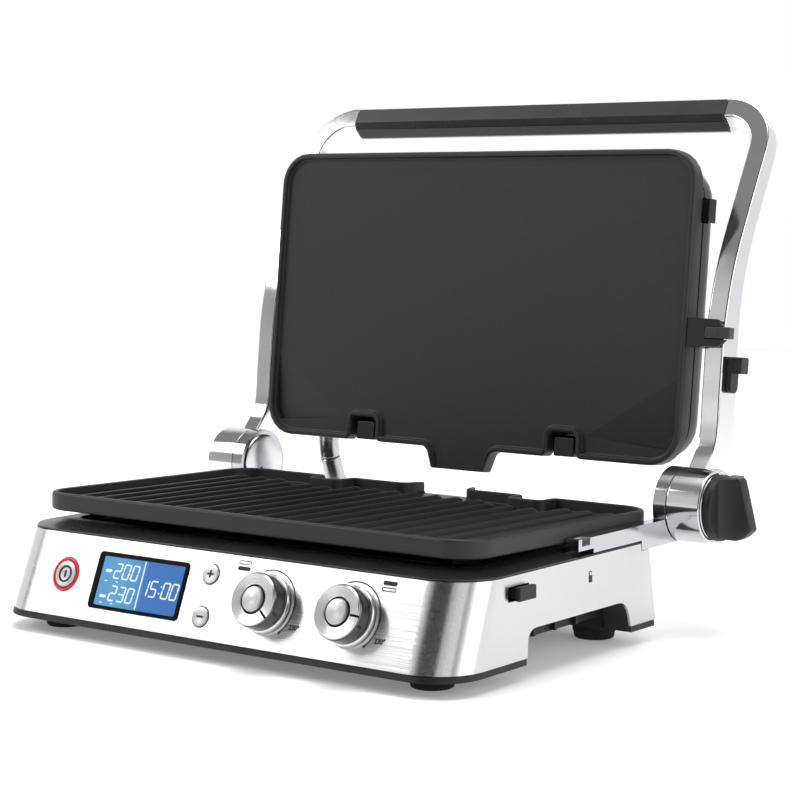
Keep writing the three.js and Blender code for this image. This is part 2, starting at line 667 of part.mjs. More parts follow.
function headHousing() {
  const { face, wall, y0, y1, corner } = HOUSING;
  const back = -HEAD.thick;
  const outer = prism(roundedRectangle(-HEAD.half, HEAD.half, y0, y1, corner), back + 9, face, 6);
  const crown = prism(roundedRectangle(-HEAD.half + 7, HEAD.half - 7, y0 + 7, y1 - 7, corner - 7), back, face - 8, 6);
  const inside = prism(
    roundedRectangle(-HEAD.half + wall, HEAD.half - wall, y0 + wall, y1 - wall, corner - wall), back + 11.5, 5, 6);
  const insideCrown = prism(
    roundedRectangle(-HEAD.half + 10, HEAD.half - 10, y0 + 10, y1 - 10, corner - 10), back + 2.5, 5, 6);
  const openings = [
    box(HEAD.half - 5, HEAD.half + 5, HEAD_BUTTON.y0 - GAP, HEAD_BUTTON.y1 + GAP, HEAD_BUTTON.z0 - GAP,
      HEAD_BUTTON.z1 + GAP),
    box(CONDUIT.x - 8, CONDUIT.x + 8, -5, 13, -34, -14.5),
  ];
  const pinHoles = rodX(4.3, -HEAD.half - 10, HEAD.half + 10, HEAD.pivot.up, -HEAD.pivot.back, 20);
  const clipPads = [-1, 1].map((sign) => {
    const x = PLATE.middle + sign * CLIP.x;
    return box(x - 7.6, x + 7.6, 0.8, 13, face - 3.6, -4);
  });
  return join(cut(join(outer, crown), inside, insideCrown, pinHoles, ...openings), ...clipPads);
}

const HEAD_BUTTON = { y0: 151.2, y1: 166, z0: -23.5, z1: -15 };
place("head_housing", headHousing(), MATERIAL.gloss, head);

place("head_cover", prism(
  roundedRectangle(-HEAD.half + 11, HEAD.half - 11, HOUSING.y0 + 11, HOUSING.y1 - 11, HOUSING.corner - 11),
  -HEAD.thick - GAP - 1, -HEAD.thick - GAP, 6), MATERIAL.steel, head);

place("upper_release_button", join(
  box(154, 164.6, HEAD_BUTTON.y0 + 1, HEAD_BUTTON.y1 - 1, HEAD_BUTTON.z0 + 1, HEAD_BUTTON.z1 - 1),
  box(162.8, 164.6, HEAD_BUTTON.y0, HEAD_BUTTON.y1, HEAD_BUTTON.z0, HEAD_BUTTON.z1),
), MATERIAL.matte, head);

const PIVOT_BLOCK = { y0: 74, y1: 92 };

function pivotBlock(side) {
  const { y0, y1 } = PIVOT_BLOCK;
  const cheek = box(162.4, 171.3, y0, y1, -27, side === "right" ? -1 : HOUSING.face);
  const seat = box(160, 163, y0, y1, -27, HOUSING.face - 1.2);
  const flange = prism(
    polygon([[162.6, y0], [184, y0 + 1], [188, y0 + 5], [188, y1 - 6], [182, y1 - 0.5], [162.6, y1]]), -4.8, -1);
  const leverSlot = box(174.5, 195, 79.4, 87.2, -6, 5);
  const pinBore = rodX(4.3, 150, 175, HEAD.pivot.up, -HEAD.pivot.back, 20);
  const block = join(cheek, seat);
  return side === "right" ? cut(join(block, flange), leverSlot, pinBore) : cut(block, pinBore);
}

function mirrored(manifold) {
  const geometry = geometryOf(manifold);
  geometry.scale(-1, 1, 1);
  return solid(geometry);
}

place("pivot_block_right", pivotBlock("right"), MATERIAL.matte, head);
place("pivot_block_left", mirrored(pivotBlock("left")), MATERIAL.matte, head);
for (const [side, sign] of Object.entries(mirror)) {
  const pin = rodX(4, ...span(sign, 152, 181), HEAD.pivot.up, -HEAD.pivot.back, 20);
  place(`pivot_pin_${side}`, pin, MATERIAL.alu, head);
}

function lidLever() {
  const blade = box(175, 193, 79.8, 86.8, -4.2, 0.4);
  const thumb = box(186, 193, 79.8, 86.8, -0.5, 2.2);
  return join(blade, thumb);
}
place("lid_lever", lidLever(), MATERIAL.matte, head);

// ---------------------------------------------------------------- heaters

// A tubular element bent into a flat serpentine, at height z in its group's frame.
function elementPath(halfWidth, y0, y1, z) {
  const points = [];
  const loops = 3;
  const step = (y1 - y0) / (2 * loops - 1);
  for (let i = 0; i < 2 * loops; i++) {
    const direction = i % 2 === 0 ? 1 : -1;
    for (const share of [-1, -0.5, 0, 0.5, 1]) {
      points.push([share * direction * halfWidth, y0 + i * step, z]);
    }
  }
  return points;
}

function reflector(half, y0, y1, zFloor, zRim) {
  const wall = 1.2;
  const outer = prism(roundedRectangle(-half, half, y0, y1, 10), zFloor, zRim, 3);
  const inner = prism(roundedRectangle(-half + wall, half - wall, y0 + wall, y1 - wall, 9), zFloor + wall, zRim + 20, 3);
  return cut(outer, inner);
}

place("lower_reflector", reflector(146, 13, 146, WELL.floor + GAP, 63), MATERIAL.alu);
place("lower_element", tube(elementPath(118, 28, 131, 57.5), 3.2, 62, 6), MATERIAL.element);
place("lower_sensor", rodZ(6, 52, 66.4, 0, 79.5, 20), MATERIAL.alu);

place("upper_reflector", reflector(146, 14, HOUSING.y1 - 11, -30.5, -17), MATERIAL.alu, head);
place("upper_element", tube(elementPath(118, 34, 161, -22.5), 3.2, 62, 6), MATERIAL.element, head);
place("upper_sensor", rodZ(6, -28.5, -12.6, 0, 97.5, 20), MATERIAL.alu, head);

// ---------------------------------------------------------------- controls

const LENS = { x0: -90.6, x1: -26.2, y0: 10.4, y1: 39.8 };

place("lcd_bezel", cut(
  prism(roundedRectangle(LCD.x0, LCD.x1, LCD.y0, LCD.y1, LCD.corner), -1.3, 0.9, 3),
  box(LENS.x0 - GAP, LENS.x1 + GAP, LENS.y0 - GAP, LENS.y1 + GAP, -5, 5),
), MATERIAL.gloss, panel);
place("lcd_lens", box(LENS.x0, LENS.x1, LENS.y0, LENS.y1, -1.2, 0.5), MATERIAL.glass, panel);
place("lcd_module", box(LCD.x0 + 2, LCD.x1 - 2, LCD.y0 + 1, LCD.y1 - 1, -8.6, -1.7), MATERIAL.board, panel);
place("control_board", box(-132, 124, 7, 41, -11.2, -9.6), MATERIAL.board, panel);

for (const [index, x] of PANEL_KNOBS.entries()) {
  const side = index === 0 ? "left" : "right";
  const dial = new THREE.Group();
  dial.position.set(x, PANEL_MIDDLE, 0);
  panel.add(dial);
  const encoder = cut(
    prism(roundedRectangle(-6.5, 6.5, -6.5, 6.5, 1), -9.3, -3.2, 2),
    rodZ(3.3, -8, 5, 0, 0, 12),
  );
  place(`encoder_${side}`, encoder, MATERIAL.matte, dial);
  const knob = cut(
    turned([[0, 0.6], [17, 0.6], [17, 4], [15.9, 5.2], [15.6, 13], [14.6, 14.2], [0, 14.2]]),
    rodZ(7.9, 6, 20, 0, 0, 24),
  );
  const shaft = rodZ(3, -7.6, 1, 0, 0, 12);
  place(`knob_${side}`, join(knob, shaft), MATERIAL.steel, dial);
  const cap = turned([[0, 8], [7.6, 8], [7.6, 13.6], [6.8, 14.4], [0, 14.4]], 20);
  place(`knob_button_${side}`, cap, MATERIAL.steel, dial);
}

const powerSpot = new THREE.Group();
powerSpot.position.set(POWER.x, PANEL_MIDDLE, 0);
panel.add(powerSpot);
place("power_ring", cut(
  rodZ(POWER.radius, -1.3, 0.6, 0, 0, 28), rodZ(POWER.cap + GAP, -5, 5, 0, 0, 24),
), MATERIAL.red, powerSpot);
place("power_button", rodZ(POWER.cap, -5, 1, 0, 0, 24), MATERIAL.steel, powerSpot);

for (const [name, { x, y }] of Object.entries(SMALL_BUTTONS)) {
  place(name, rodZ(SMALL_RADIUS, -5, 1, x, y, 20), MATERIAL.steel, panel);
}

place("lower_release_button", join(
  box(164.4, 176.8, RELEASE.y0 + 1, RELEASE.y1 - 1, RELEASE.z0 + 1, RELEASE.z1 - 1),
  box(173.4, 176.8, RELEASE.y0, RELEASE.y1, RELEASE.z0, RELEASE.z1),
), MATERIAL.matte);

place("power_board", join(
  box(106, 147, 40, 144, 22, 23.8),
  box(110, 128, 46, 66, 23.5, 38),
  box(112, 124, 80, 106, 23.5, 35),
  rodZ(8, 23.5, 43, 137, 56, 20),
), MATERIAL.board);

// ---------------------------------------------------------------- conduit between base and head

place("conduit_lower", tube([
  [CONDUIT.x, 166, CONDUIT.exit.z],
  [CONDUIT.x, CONDUIT.exit.y + 12, CONDUIT.exit.z - 1],
  [CONDUIT.x, 220, 25],
  [CONDUIT.x, 247, 37],
  [CONDUIT.x, 252, 60],
  [CONDUIT.x, CONDUIT.knee.y, CONDUIT.knee.z - 8],
  [CONDUIT.x, CONDUIT.knee.y, CONDUIT.knee.z - 1],
], CONDUIT.radius, 26, 10), MATERIAL.alu);

place("conduit_upper", tube([
  [CONDUIT.x, CONDUIT.knee.y, CONDUIT.knee.z],
  [CONDUIT.x, CONDUIT.knee.y, CONDUIT.knee.z + 6],
  [CONDUIT.x, CONDUIT.top.y, CONDUIT.top.z],
  [CONDUIT.x, CONDUIT.top.y + 1, CONDUIT.top.z + 8],
], CONDUIT.radius, 8, 10), MATERIAL.alu);

object.position.set(-CENTRE.x, -CENTRE.y, -CENTRE.z);
export default object;
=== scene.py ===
"""Looks for the contact grill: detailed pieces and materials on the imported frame."""

from math import atan2, cos, pi, radians, sin, tan

import bmesh
import bpy
from mathutils import Matrix, Vector


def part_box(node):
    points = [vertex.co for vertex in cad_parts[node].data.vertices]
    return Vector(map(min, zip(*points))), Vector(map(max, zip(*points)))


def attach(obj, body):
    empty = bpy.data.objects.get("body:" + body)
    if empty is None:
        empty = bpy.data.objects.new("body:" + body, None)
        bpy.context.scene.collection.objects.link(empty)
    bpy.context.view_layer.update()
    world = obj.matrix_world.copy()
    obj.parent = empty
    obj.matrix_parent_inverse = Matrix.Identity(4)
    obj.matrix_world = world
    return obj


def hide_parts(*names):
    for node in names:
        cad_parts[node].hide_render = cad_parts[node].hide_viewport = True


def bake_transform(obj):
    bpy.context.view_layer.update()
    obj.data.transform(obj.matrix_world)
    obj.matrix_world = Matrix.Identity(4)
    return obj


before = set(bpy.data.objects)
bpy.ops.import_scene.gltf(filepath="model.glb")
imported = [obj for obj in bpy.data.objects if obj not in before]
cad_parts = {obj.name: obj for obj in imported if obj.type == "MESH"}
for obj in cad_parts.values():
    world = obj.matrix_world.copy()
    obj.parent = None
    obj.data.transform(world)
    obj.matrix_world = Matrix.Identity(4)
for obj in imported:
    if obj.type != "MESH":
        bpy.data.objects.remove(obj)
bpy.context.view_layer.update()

# ---- frames
# Shapes are drawn in millimetres in the same local frames as the CAD, then moved into the row frame.
# Drawing frame: x = 0 is the middle of the base, y = 0 is the lower plate's front rim, z = FLOOR the floor.

MM = 0.001
GAP = 0.3
FLOOR = 2.4
wrap_low, wrap_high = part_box("steel_wrap")
# The steel band's sloping front: y and z of its lower and upper edge, in the drawing frame.
FRONT_BOTTOM, BAND_LOW = -31.8, 14.8
FRONT_TOP, BAND_HIGH = -12.9, 61.7
DRAWING = (
    Matrix.Translation(((wrap_low.x + wrap_high.x) / 2, wrap_low.y - FRONT_BOTTOM * MM, -FLOOR * MM))
    @ Matrix.Scale(MM, 4)
)


def tilted(x, y, z, angle, axis="X"):
    return Matrix.Translation((x, y, z)) @ Matrix.Rotation(angle, 4, axis)


PANEL_LEAN = atan2(BAND_HIGH - BAND_LOW, FRONT_TOP - FRONT_BOTTOM)
HEAD_LEAN = radians(6.28)
ARM_LEAN = radians(28.5)
ARM_TOP = (285, 294.8)  # y and z where an arm's front face meets the crossbar's corner
ARM_OUTER = 184.6
ARM_INNER = 171.8

PANEL = DRAWING @ tilted(0, FRONT_BOTTOM, BAND_LOW, PANEL_LEAN)
HEAD = DRAWING @ tilted(0, 217.3, 99.8, pi / 2 - HEAD_LEAN)
HANDLE = DRAWING @ tilted(0, *ARM_TOP, pi / 2 - ARM_LEAN)
PLATE_MIDDLE = -2
CLIP_X = 79.5  # from a plate's middle to each of its two clip notches
PLATE = {"half": 164, "depth": 195, "thick": 11, "rim": 3.6, "corner": 21}
BED = DRAWING @ tilted(PLATE_MIDDLE, 0, 82.6, -radians(1.35))
UPPER_BED = HEAD @ tilted(PLATE_MIDDLE, PLATE["depth"], 0, pi, "Z")
HINGE = {"y": 210.2, "z": 79.3, "radius": 22.8}

# ---- mesh building


def new_mesh(vertices, faces):
    mesh = bpy.data.meshes.new("shape")
    mesh.from_pydata([tuple(v) for v in vertices], [], faces)
    bm = bmesh.new()
    bm.from_mesh(mesh)
    bmesh.ops.remove_doubles(bm, verts=bm.verts, dist=1e-4)
    bmesh.ops.recalc_face_normals(bm, faces=bm.faces)
    bm.to_mesh(mesh)
    bm.free()
    return mesh


def joined(*meshes):
    """Several closed meshes as one mesh, untouched."""
    bm = bmesh.new()
    for mesh in meshes:
        bm.from_mesh(mesh)
    result = bpy.data.meshes.new("shape")
    bm.to_mesh(result)
    bm.free()
    return result


def evaluated_mesh(obj):
    return bpy.data.meshes.new_from_object(obj.evaluated_get(bpy.context.evaluated_depsgraph_get()))


def boolean(mesh, tool, operation="DIFFERENCE"):
    target = bpy.data.objects.new("target", mesh)
    other = bpy.data.objects.new("tool", tool)
    for obj in (target, other):
        bpy.context.scene.collection.objects.link(obj)
    modifier = target.modifiers.new("cut", "BOOLEAN")
    modifier.operation = operation
    modifier.object = other
    modifier.solver = "EXACT"
    bpy.context.view_layer.update()
    result = evaluated_mesh(target)
    for obj in (target, other):
        bpy.data.objects.remove(obj)
    return result


def cut(mesh, *tools):
    for tool in tools:
        mesh = boolean(mesh, tool)
    return mesh


def outline(corners, inset, steps):
    """A closed anticlockwise loop through corners (x, y, radius), moved inwards by inset."""
    count = len(corners)
    points = [Vector(c[:2]) for c in corners]
    loop = []
    for i in range(count):
        before = (points[i] - points[i - 1]).normalized()
        after = (points[(i + 1) % count] - points[i]).normalized()
        inward_before = Vector((-before.y, before.x))
        turn = before.x * after.y - before.y * after.x
        angle = before.angle(after)
        sign = 1 if turn > 0 else -1
        shift = tan(angle / 2) * sign
        corner = points[i] + inward_before * inset - before * inset * shift
        radius = max(corners[i][2] - inset * sign, 0.02)
        reach = radius * tan(angle / 2)
        start = corner - before * reach
        centre = start + inward_before * radius * sign
        arm = start - centre
        for k in range(steps + 1):
            a = sign * angle * k / steps
            turned = Vector((arm.x * cos(a) - arm.y * sin(a), arm.x * sin(a) + arm.y * cos(a)))
            loop.append(centre + turned)
    return loop


def rings(loops, closed=False):
    """A skin over closed loops of equal length, capped at both ends, or closed into a ring."""
    count = len(loops[0])
    vertices = [v for loop in loops for v in loop]
    faces = []
    pairs = len(loops) if closed else len(loops) - 1
    for j in range(pairs):
        low = j * count
        high = ((j + 1) % len(loops)) * count
        for i in range(count):
            n = (i + 1) % count
            faces.append((low + i, low + n, high + n, high + i))
    if not closed:
        faces.append(tuple(reversed(range(count))))
        faces.append(tuple(range((len(loops) - 1) * count, len(loops) * count)))
    return new_mesh(vertices, faces)


def layered(corners, layers, steps=6):
    """A solid from an outline: layers are (height, inset), in order from one cap to the other."""
    loops = [[(p.x, p.y, z) for p in outline(corners, inset, steps)] for z, inset in layers]
    return rings(loops)


def soft_prism(corners, z0, z1, edge, steps=6):
    """A prism with rounded upper and lower edges."""
    bow = edge * 0.3
    layers = [(z0, edge), (z0 + bow, bow), (z0 + edge, 0), (z1 - edge, 0), (z1 - bow, bow), (z1, edge)]
    return layered(corners, layers, steps)


def rectangle(x0, x1, y0, y1, radius):
    return [(x0, y0, radius), (x1, y0, radius), (x1, y1, radius), (x0, y1, radius)]


def block(x0, x1, y0, y1, z0, z1):
    return layered(rectangle(x0, x1, y0, y1, 0.02), [(z0, 0), (z1, 0)], 1)


def lathe(profile, segments):
    """A closed profile of (radius, height) pairs turned about +Z."""
    loops = []
    for i in range(segments):
        a = 2 * pi * i / segments
        loops.append([(r * cos(a), r * sin(a), h) for r, h in profile])
    return rings(loops, closed=True)


def swept(points, sections):
    """A tube along a path at constant x, with a section of (along x, across) pairs for every point."""
    side = Vector((1, 0, 0))
    loops = []
    for i, point in enumerate(points):
        ahead = points[min(i + 1, len(points) - 1)]
        behind = points[max(i - 1, 0)]
        forward = (ahead - behind).normalized()
        other = forward.cross(side).normalized()
        loops.append([point + side * u + other * v for u, v in sections[i]])
    return rings(loops)


def smooth_line(points, per_span):
    """Points on a Catmull-Rom curve through the given points."""
    result = []
    last = len(points) - 1
    for i in range(last):
        p0, p1, p2, p3 = (Vector(points[max(0, min(last, k))]) for k in (i - 1, i, i + 1, i + 2))
        for k in range(per_span):
            t = k / per_span
            result.append(0.5 * (2 * p1 + (p2 - p0) * t + (2 * p0 - 5 * p1 + 4 * p2 - p3) * t * t
                                 + (3 * p1 - p0 - 3 * p2 + p3) * t ** 3))
    result.append(Vector(points[-1]))
    return result


def mirrored_x(mesh):
    copy = mesh.copy()
    copy.transform(Matrix.Scale(-1, 4, (1, 0, 0)))
    copy.flip_normals()
    return copy


def refined(node, edge):
    """The CAD node's shape as a new mesh in millimetres, with its sharp edges rounded."""
    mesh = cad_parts[node].data.copy()
    mesh.transform(Matrix.Scale(1 / MM, 4))
    mesh.materials.clear()
    bm = bmesh.new()
    bm.from_mesh(mesh)
    bmesh.ops.remove_doubles(bm, verts=bm.verts, dist=2e-3)
    bmesh.ops.dissolve_limit(bm, angle_limit=radians(0.6), verts=bm.verts, edges=bm.edges)
    sharp = [e for e in bm.edges if len(e.link_faces) == 2 and e.calc_face_angle(0) > radians(28)]
    bmesh.ops.bevel(bm, geom=sharp, offset=edge, segments=2, profile=0.5, affect="EDGES", clamp_overlap=True)
    bmesh.ops.recalc_face_normals(bm, faces=bm.faces)
    result = bpy.data.meshes.new(node + "_shape")
    bm.to_mesh(result)
    bm.free()
    return result


ROW = Matrix.Scale(MM, 4)  # for shapes already in the row frame, in millimetres


def piece(name, mesh, matrix, body, material, replaces=(), own_frame=False):
    """Places a finished mesh as a piece of the object that rides on a body.
    With own_frame the object keeps its local axes, so that its material can follow them."""
    mesh = mesh.copy()
    if own_frame:
        mesh.transform(Matrix.Scale(MM, 4))
    else:
        mesh.transform(matrix)
    mesh.name = name
    mesh.materials.clear()
    mesh.materials.append(material)
    mesh.shade_smooth()
    mesh.set_sharp_from_angle(angle=radians(34))
    obj = bpy.data.objects.new(name, mesh)
    bpy.context.scene.collection.objects.link(obj)
    if own_frame:
        obj.matrix_world = matrix @ Matrix.Scale(1 / MM, 4)
    weighted = obj.modifiers.new("even_shading", "WEIGHTED_NORMAL")
    weighted.keep_sharp = True
    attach(obj, body)
    if replaces:
        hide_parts(*([replaces] if isinstance(replaces, str) else replaces))
    return obj


# ---- materials


def maths(tree, kind, operation, *inputs):
    """A math node in a node tree; inputs are values or other nodes' outputs, and None leaves one alone."""
    node = tree.nodes.new(kind)
    node.operation = operation
    for socket, value in zip(node.inputs, inputs):
        if isinstance(value, bpy.types.NodeSocket):
            tree.links.new(value, socket)
        elif value is not None:
            socket.default_value = value
    single = kind == "ShaderNodeMath" or operation in ("LENGTH", "DOT_PRODUCT")
    return node.outputs["Value" if single else "Vector"]


class Graph:
    """A material with a Principled shader and short ways to add procedural detail."""

    def __init__(self, name, colour, roughness, metallic=0.0, specular=0.5):
        self.material = bpy.data.materials.new(name)
        self.material.use_nodes = True
        self.tree = self.material.node_tree
        self.nodes = self.tree.nodes
        self.links = self.tree.links
        self.shader = self.nodes["Principled BSDF"]
        self.shader.inputs["Base Color"].default_value = (*colour, 1)
        self.shader.inputs["Roughness"].default_value = roughness
        self.shader.inputs["Metallic"].default_value = metallic
        self.shader.inputs["Specular IOR Level"].default_value = specular
        self.place = self.nodes.new("ShaderNodeTexCoord").outputs["Object"]

    def stretched(self, scale):
        mapping = self.nodes.new("ShaderNodeMapping")
        mapping.inputs["Scale"].default_value = scale
        self.links.new(self.place, mapping.inputs["Vector"])
        return mapping.outputs["Vector"]

    def noise(self, scale, detail=3.0, vector=None, rough=0.55):
        node = self.nodes.new("ShaderNodeTexNoise")
        node.inputs["Scale"].default_value = scale
        node.inputs["Detail"].default_value = detail
        node.inputs["Roughness"].default_value = rough
        self.links.new(vector or self.place, node.inputs["Vector"])
        return node.outputs["Fac"]

    def spread(self, value, low, high, start=0.3, end=0.7):
        node = self.nodes.new("ShaderNodeMapRange")
        node.inputs["From Min"].default_value = start
        node.inputs["From Max"].default_value = end
        node.inputs["To Min"].default_value = low
        node.inputs["To Max"].default_value = high
        self.links.new(value, node.inputs["Value"])
        return node.outputs["Result"]

    def ramp(self, value, stops):
        node = self.nodes.new("ShaderNodeValToRGB")
        elements = node.color_ramp.elements
        while len(elements) < len(stops):
            elements.new(0.5)
        for element, (position, colour) in zip(elements, stops):
            element.position = position
            element.color = (*colour, 1)
        self.links.new(value, node.inputs["Fac"])
        return node.outputs["Color"]

    def drive(self, value, socket):
        self.links.new(value, self.shader.inputs[socket])

    def around_z(self):
        """Grain that runs round the piece's own Z axis, so that highlights stretch across it."""
        tangent = self.nodes.new("ShaderNodeTangent")
        tangent.direction_type = "RADIAL"
        tangent.axis = "Z"
        self.drive(tangent.outputs["Tangent"], "Tangent")
        self.shader.inputs["Anisotropic Rotation"].default_value = 0.25

    def bump(self, height, strength, distance):
        node = self.nodes.new("ShaderNodeBump")
        node.inputs["Strength"].default_value = strength
        node.inputs["Distance"].default_value = distance
        self.links.new(height, node.inputs["Height"])
        self.links.new(node.outputs["Normal"], self.shader.inputs["Normal"])


def brushed(name, along, tone=(0.62, 0.62, 0.63), rough=(0.2, 0.32), anisotropy=0.0):
    """Steel with straight brushing; along is the noise scale in x, y and z, smallest along the grain."""
    graph = Graph(name, tone, 0.3, 1.0)
    grain = graph.noise(1.0, 4.0, graph.stretched(along))
    clouds = graph.noise(14.0, 2.0)
    low = tuple(t * 0.9 for t in tone)
    high = tuple(min(1, t * 1.1) for t in tone)
    graph.drive(graph.ramp(grain, [(0.3, low), (0.7, high)]), "Base Color")
    share = maths(graph.tree, "ShaderNodeMath", "MULTIPLY", clouds, 0.3)
    mixed = maths(graph.tree, "ShaderNodeMath", "MULTIPLY_ADD", grain, 0.7, share)
    graph.drive(graph.spread(mixed, *rough), "Roughness")
    graph.bump(grain, 0.25, 0.00004)
    graph.shader.inputs["Anisotropic"].default_value = anisotropy
    if anisotropy > 0:
        graph.around_z()
    return graph.material


def polished(name, tone, rough=(0.07, 0.13)):
    graph = Graph(name, tone, 0.1, 1.0)
    wipe = graph.noise(45.0, 3.0)
    graph.drive(graph.spread(wipe, *rough), "Roughness")
    fine = graph.noise(900.0, 2.0)
    graph.drive(graph.ramp(fine, [(0.3, tuple(t * 0.96 for t in tone)), (0.7, tone)]), "Base Color")
    graph.bump(wipe, 0.04, 0.0002)
    return graph.material


def turned_metal(name, tone, rough=(0.2, 0.32), anisotropy=0.75):
    """Metal faced on a lathe about the piece's own Z axis, with fine circular marks."""
    graph = Graph(name, tone, 0.28, 1.0)
    flat = maths(graph.tree, "ShaderNodeVectorMath", "MULTIPLY", graph.place, (1, 1, 0))
    length = maths(graph.tree, "ShaderNodeVectorMath", "LENGTH", flat)
    wave = graph.nodes.new("ShaderNodeTexNoise")
    wave.noise_dimensions = "1D"
    wave.inputs["Scale"].default_value = 4200.0
    wave.inputs["Detail"].default_value = 3.0
    graph.links.new(length, wave.inputs["W"])
    marks = wave.outputs["Fac"]
    graph.drive(graph.spread(marks, *rough), "Roughness")
    low = tuple(t * 0.9 for t in tone)
    high = tuple(t * 1.08 for t in tone)
    graph.drive(graph.ramp(marks, [(0.3, low), (0.7, high)]), "Base Color")
    graph.bump(marks, 0.3, 0.00002)
    graph.shader.inputs["Anisotropic"].default_value = anisotropy
    graph.around_z()
    return graph.material


def moulded(name, tone, rough, grain=1800.0, depth=0.00005, strength=0.3, specular=0.35):
    """Moulded plastic or rubber with a fine spark-eroded texture."""
    graph = Graph(name, tone, rough, 0.0, specular)
    fine = graph.noise(grain, 3.0)
    broad = graph.noise(60.0, 2.0)
    lighter = tuple(t * 1.35 + 0.002 for t in tone)
    graph.drive(graph.ramp(fine, [(0.35, tone), (0.75, lighter)]), "Base Color")
    graph.drive(graph.spread(broad, rough * 0.85, min(1, rough * 1.15)), "Roughness")
    graph.bump(fine, strength, depth)
    return graph.material


def coating(name, groove=None):
    """Non-stick coating on cast aluminium: dark, satin, with fine sprayed speckle.
    groove gives two heights in the piece's own frame, in metres, for painted shade in the grooves:
    below the first the coating is painted blackest, and above the second it has its plain colour. Upright
    walls stay plain."""
    graph = Graph(name, (0.016, 0.016, 0.017), 0.45, 0.0, 0.35)
    speckle = graph.noise(1500.0, 4.0, None, 0.7)
    cast = graph.noise(260.0, 3.0)
    colour = graph.ramp(speckle, [(0.3, (0.014, 0.014, 0.016)), (0.58, (0.022, 0.022, 0.024)),
                                  (0.75, (0.048, 0.048, 0.051))])
    # Painted shade: the colour darkens towards the floor of the grooves between the ribs.
    if groove is not None:
        split = graph.nodes.new("ShaderNodeSeparateXYZ")
        graph.links.new(graph.place, split.inputs[0])
        height = graph.spread(split.outputs["Z"], 0.12, 1.0, *groove)
        faces = graph.nodes.new("ShaderNodeSeparateXYZ")
        graph.links.new(graph.place.node.outputs["Normal"], faces.inputs[0])
        upright = graph.spread(faces.outputs["Z"], 1.0, 0.0, 0.05, 0.3)
        plain = maths(graph.tree, "ShaderNodeMath", "MAXIMUM", height, upright)
        colour = maths(graph.tree, "ShaderNodeVectorMath", "SCALE", colour, None, None, plain)
    graph.drive(colour, "Base Color")
    graph.drive(graph.spread(speckle, 0.38, 0.52), "Roughness")
    graph.bump(cast, 0.22, 0.0001)
    return graph.material


def glow(name, stops, width, start):
    """A lit display colour that changes along the row's x axis, over a width from a start."""
    graph = Graph(name, (0.01, 0.01, 0.012), 0.25, 0.0, 0.1)
    split = graph.nodes.new("ShaderNodeSeparateXYZ")
    graph.links.new(graph.place, split.inputs[0])
    across = graph.spread(split.outputs["X"], 0.0, 1.0, start, start + width)
    colour = graph.ramp(across, stops)
    graph.drive(colour, "Emission Color")
    graph.shader.inputs["Emission Strength"].default_value = 1.0
    cells = graph.noise(3000.0, 1.0)
    graph.drive(graph.spread(cells, 0.2, 0.35), "Roughness")
    return graph.material


STEEL = brushed("brushed_steel_front", (10.0, 2600.0, 2600.0), rough=(0.16, 0.28), anisotropy=0.95)
STEEL_HEAD = brushed("brushed_steel_lid", (10.0, 2600.0, 2600.0), (0.55, 0.55, 0.56))
CHROME = polished("polished_chrome", (0.72, 0.73, 0.75))
# Painted reflection: this chrome's tone is lowered to stand in for the darker surroundings the hinge brackets
# reflect.
BRACKET_CHROME_PAINTED_DARK = polished("bracket_chrome_painted_dark", (0.5, 0.51, 0.53), (0.1, 0.16))
SATIN_CHROME = polished("satin_chrome", (0.66, 0.67, 0.69), (0.16, 0.24))
NONSTICK = coating("nonstick")
# The ribbed plate's coating carries painted shade in the grooves between its ribs.
NONSTICK_GROOVE_SHADED = coating("nonstick_painted_groove_shade", (-0.0042, -0.0026))
GLOSS = moulded("gloss_black", (0.003, 0.003, 0.004), 0.3, 700.0, 0.00002, 0.12, 0.06)
SATIN = moulded("satin_black", (0.010, 0.010, 0.011), 0.34, 1200.0, 0.00004, 0.3)
DECK = moulded("deck_black", (0.017, 0.017, 0.018), 0.28, 900.0, 0.00002, 0.12, 0.4)
MATTE = moulded("matte_black", (0.009, 0.009, 0.010), 0.5)
RUBBER = moulded("soft_rubber", (0.006, 0.006, 0.006), 0.75, 1400.0, 0.00008, 0.4)
GRIP = moulded("grip_charcoal", (0.036, 0.036, 0.040), 0.34, 1600.0, 0.00004, 0.22, 0.3)
GRIP_UNDER = moulded("grip_underside", (0.010, 0.010, 0.012), 0.3, 1600.0, 0.00004, 0.22, 0.3)
BARE = brushed("bare_metal", (300.0, 300.0, 300.0), (0.5, 0.5, 0.51), (0.3, 0.45))
BOARD = moulded("board_green", (0.01, 0.09, 0.035), 0.45, 900.0)
FACED = turned_metal("turned_face", (0.68, 0.68, 0.69))
# Painted reflection: the knob sides' chrome is darkened to stand in for the dark surroundings they reflect.
KNOB_SIDE_PAINTED_DARK = polished("knob_side_painted_dark", (0.13, 0.13, 0.135), (0.14, 0.22))
FACED_CAP = turned_metal("turned_cap", (0.54, 0.54, 0.55), (0.26, 0.36), 0.4)
SHEATH = brushed("element_sheath", (200.0, 200.0, 200.0), (0.16, 0.14, 0.13), (0.4, 0.6))
RED = moulded("red_ring", (0.62, 0.015, 0.035), 0.28, 900.0, 0.00002, 0.1)
PRINT = moulded("black_print", (0.012, 0.012, 0.012), 0.5, 2400.0, 0.00001, 0.1)

# ---- camera, light and floor

# The camera's place in the drawing frame, its turn and downward tilt in degrees, and its lens in millimetres.
CAMERA = {"place": (809.1, -919.3, 266.97), "yaw": 37.172, "pitch": 5.398, "lens": 97.94}


def make_camera():
    data = bpy.data.cameras.new("camera")
    data.lens = CAMERA["lens"]
    data.sensor_width = 36.0
    data.clip_start = 0.01
    data.clip_end = 60.0
    camera = bpy.data.objects.new("camera", data)
    camera.location = DRAWING @ Vector(CAMERA["place"])
    camera.rotation_euler = (radians(90 - CAMERA["pitch"]), 0, radians(CAMERA["yaw"]))
    bpy.context.scene.collection.objects.link(camera)
    bpy.context.scene.camera = camera


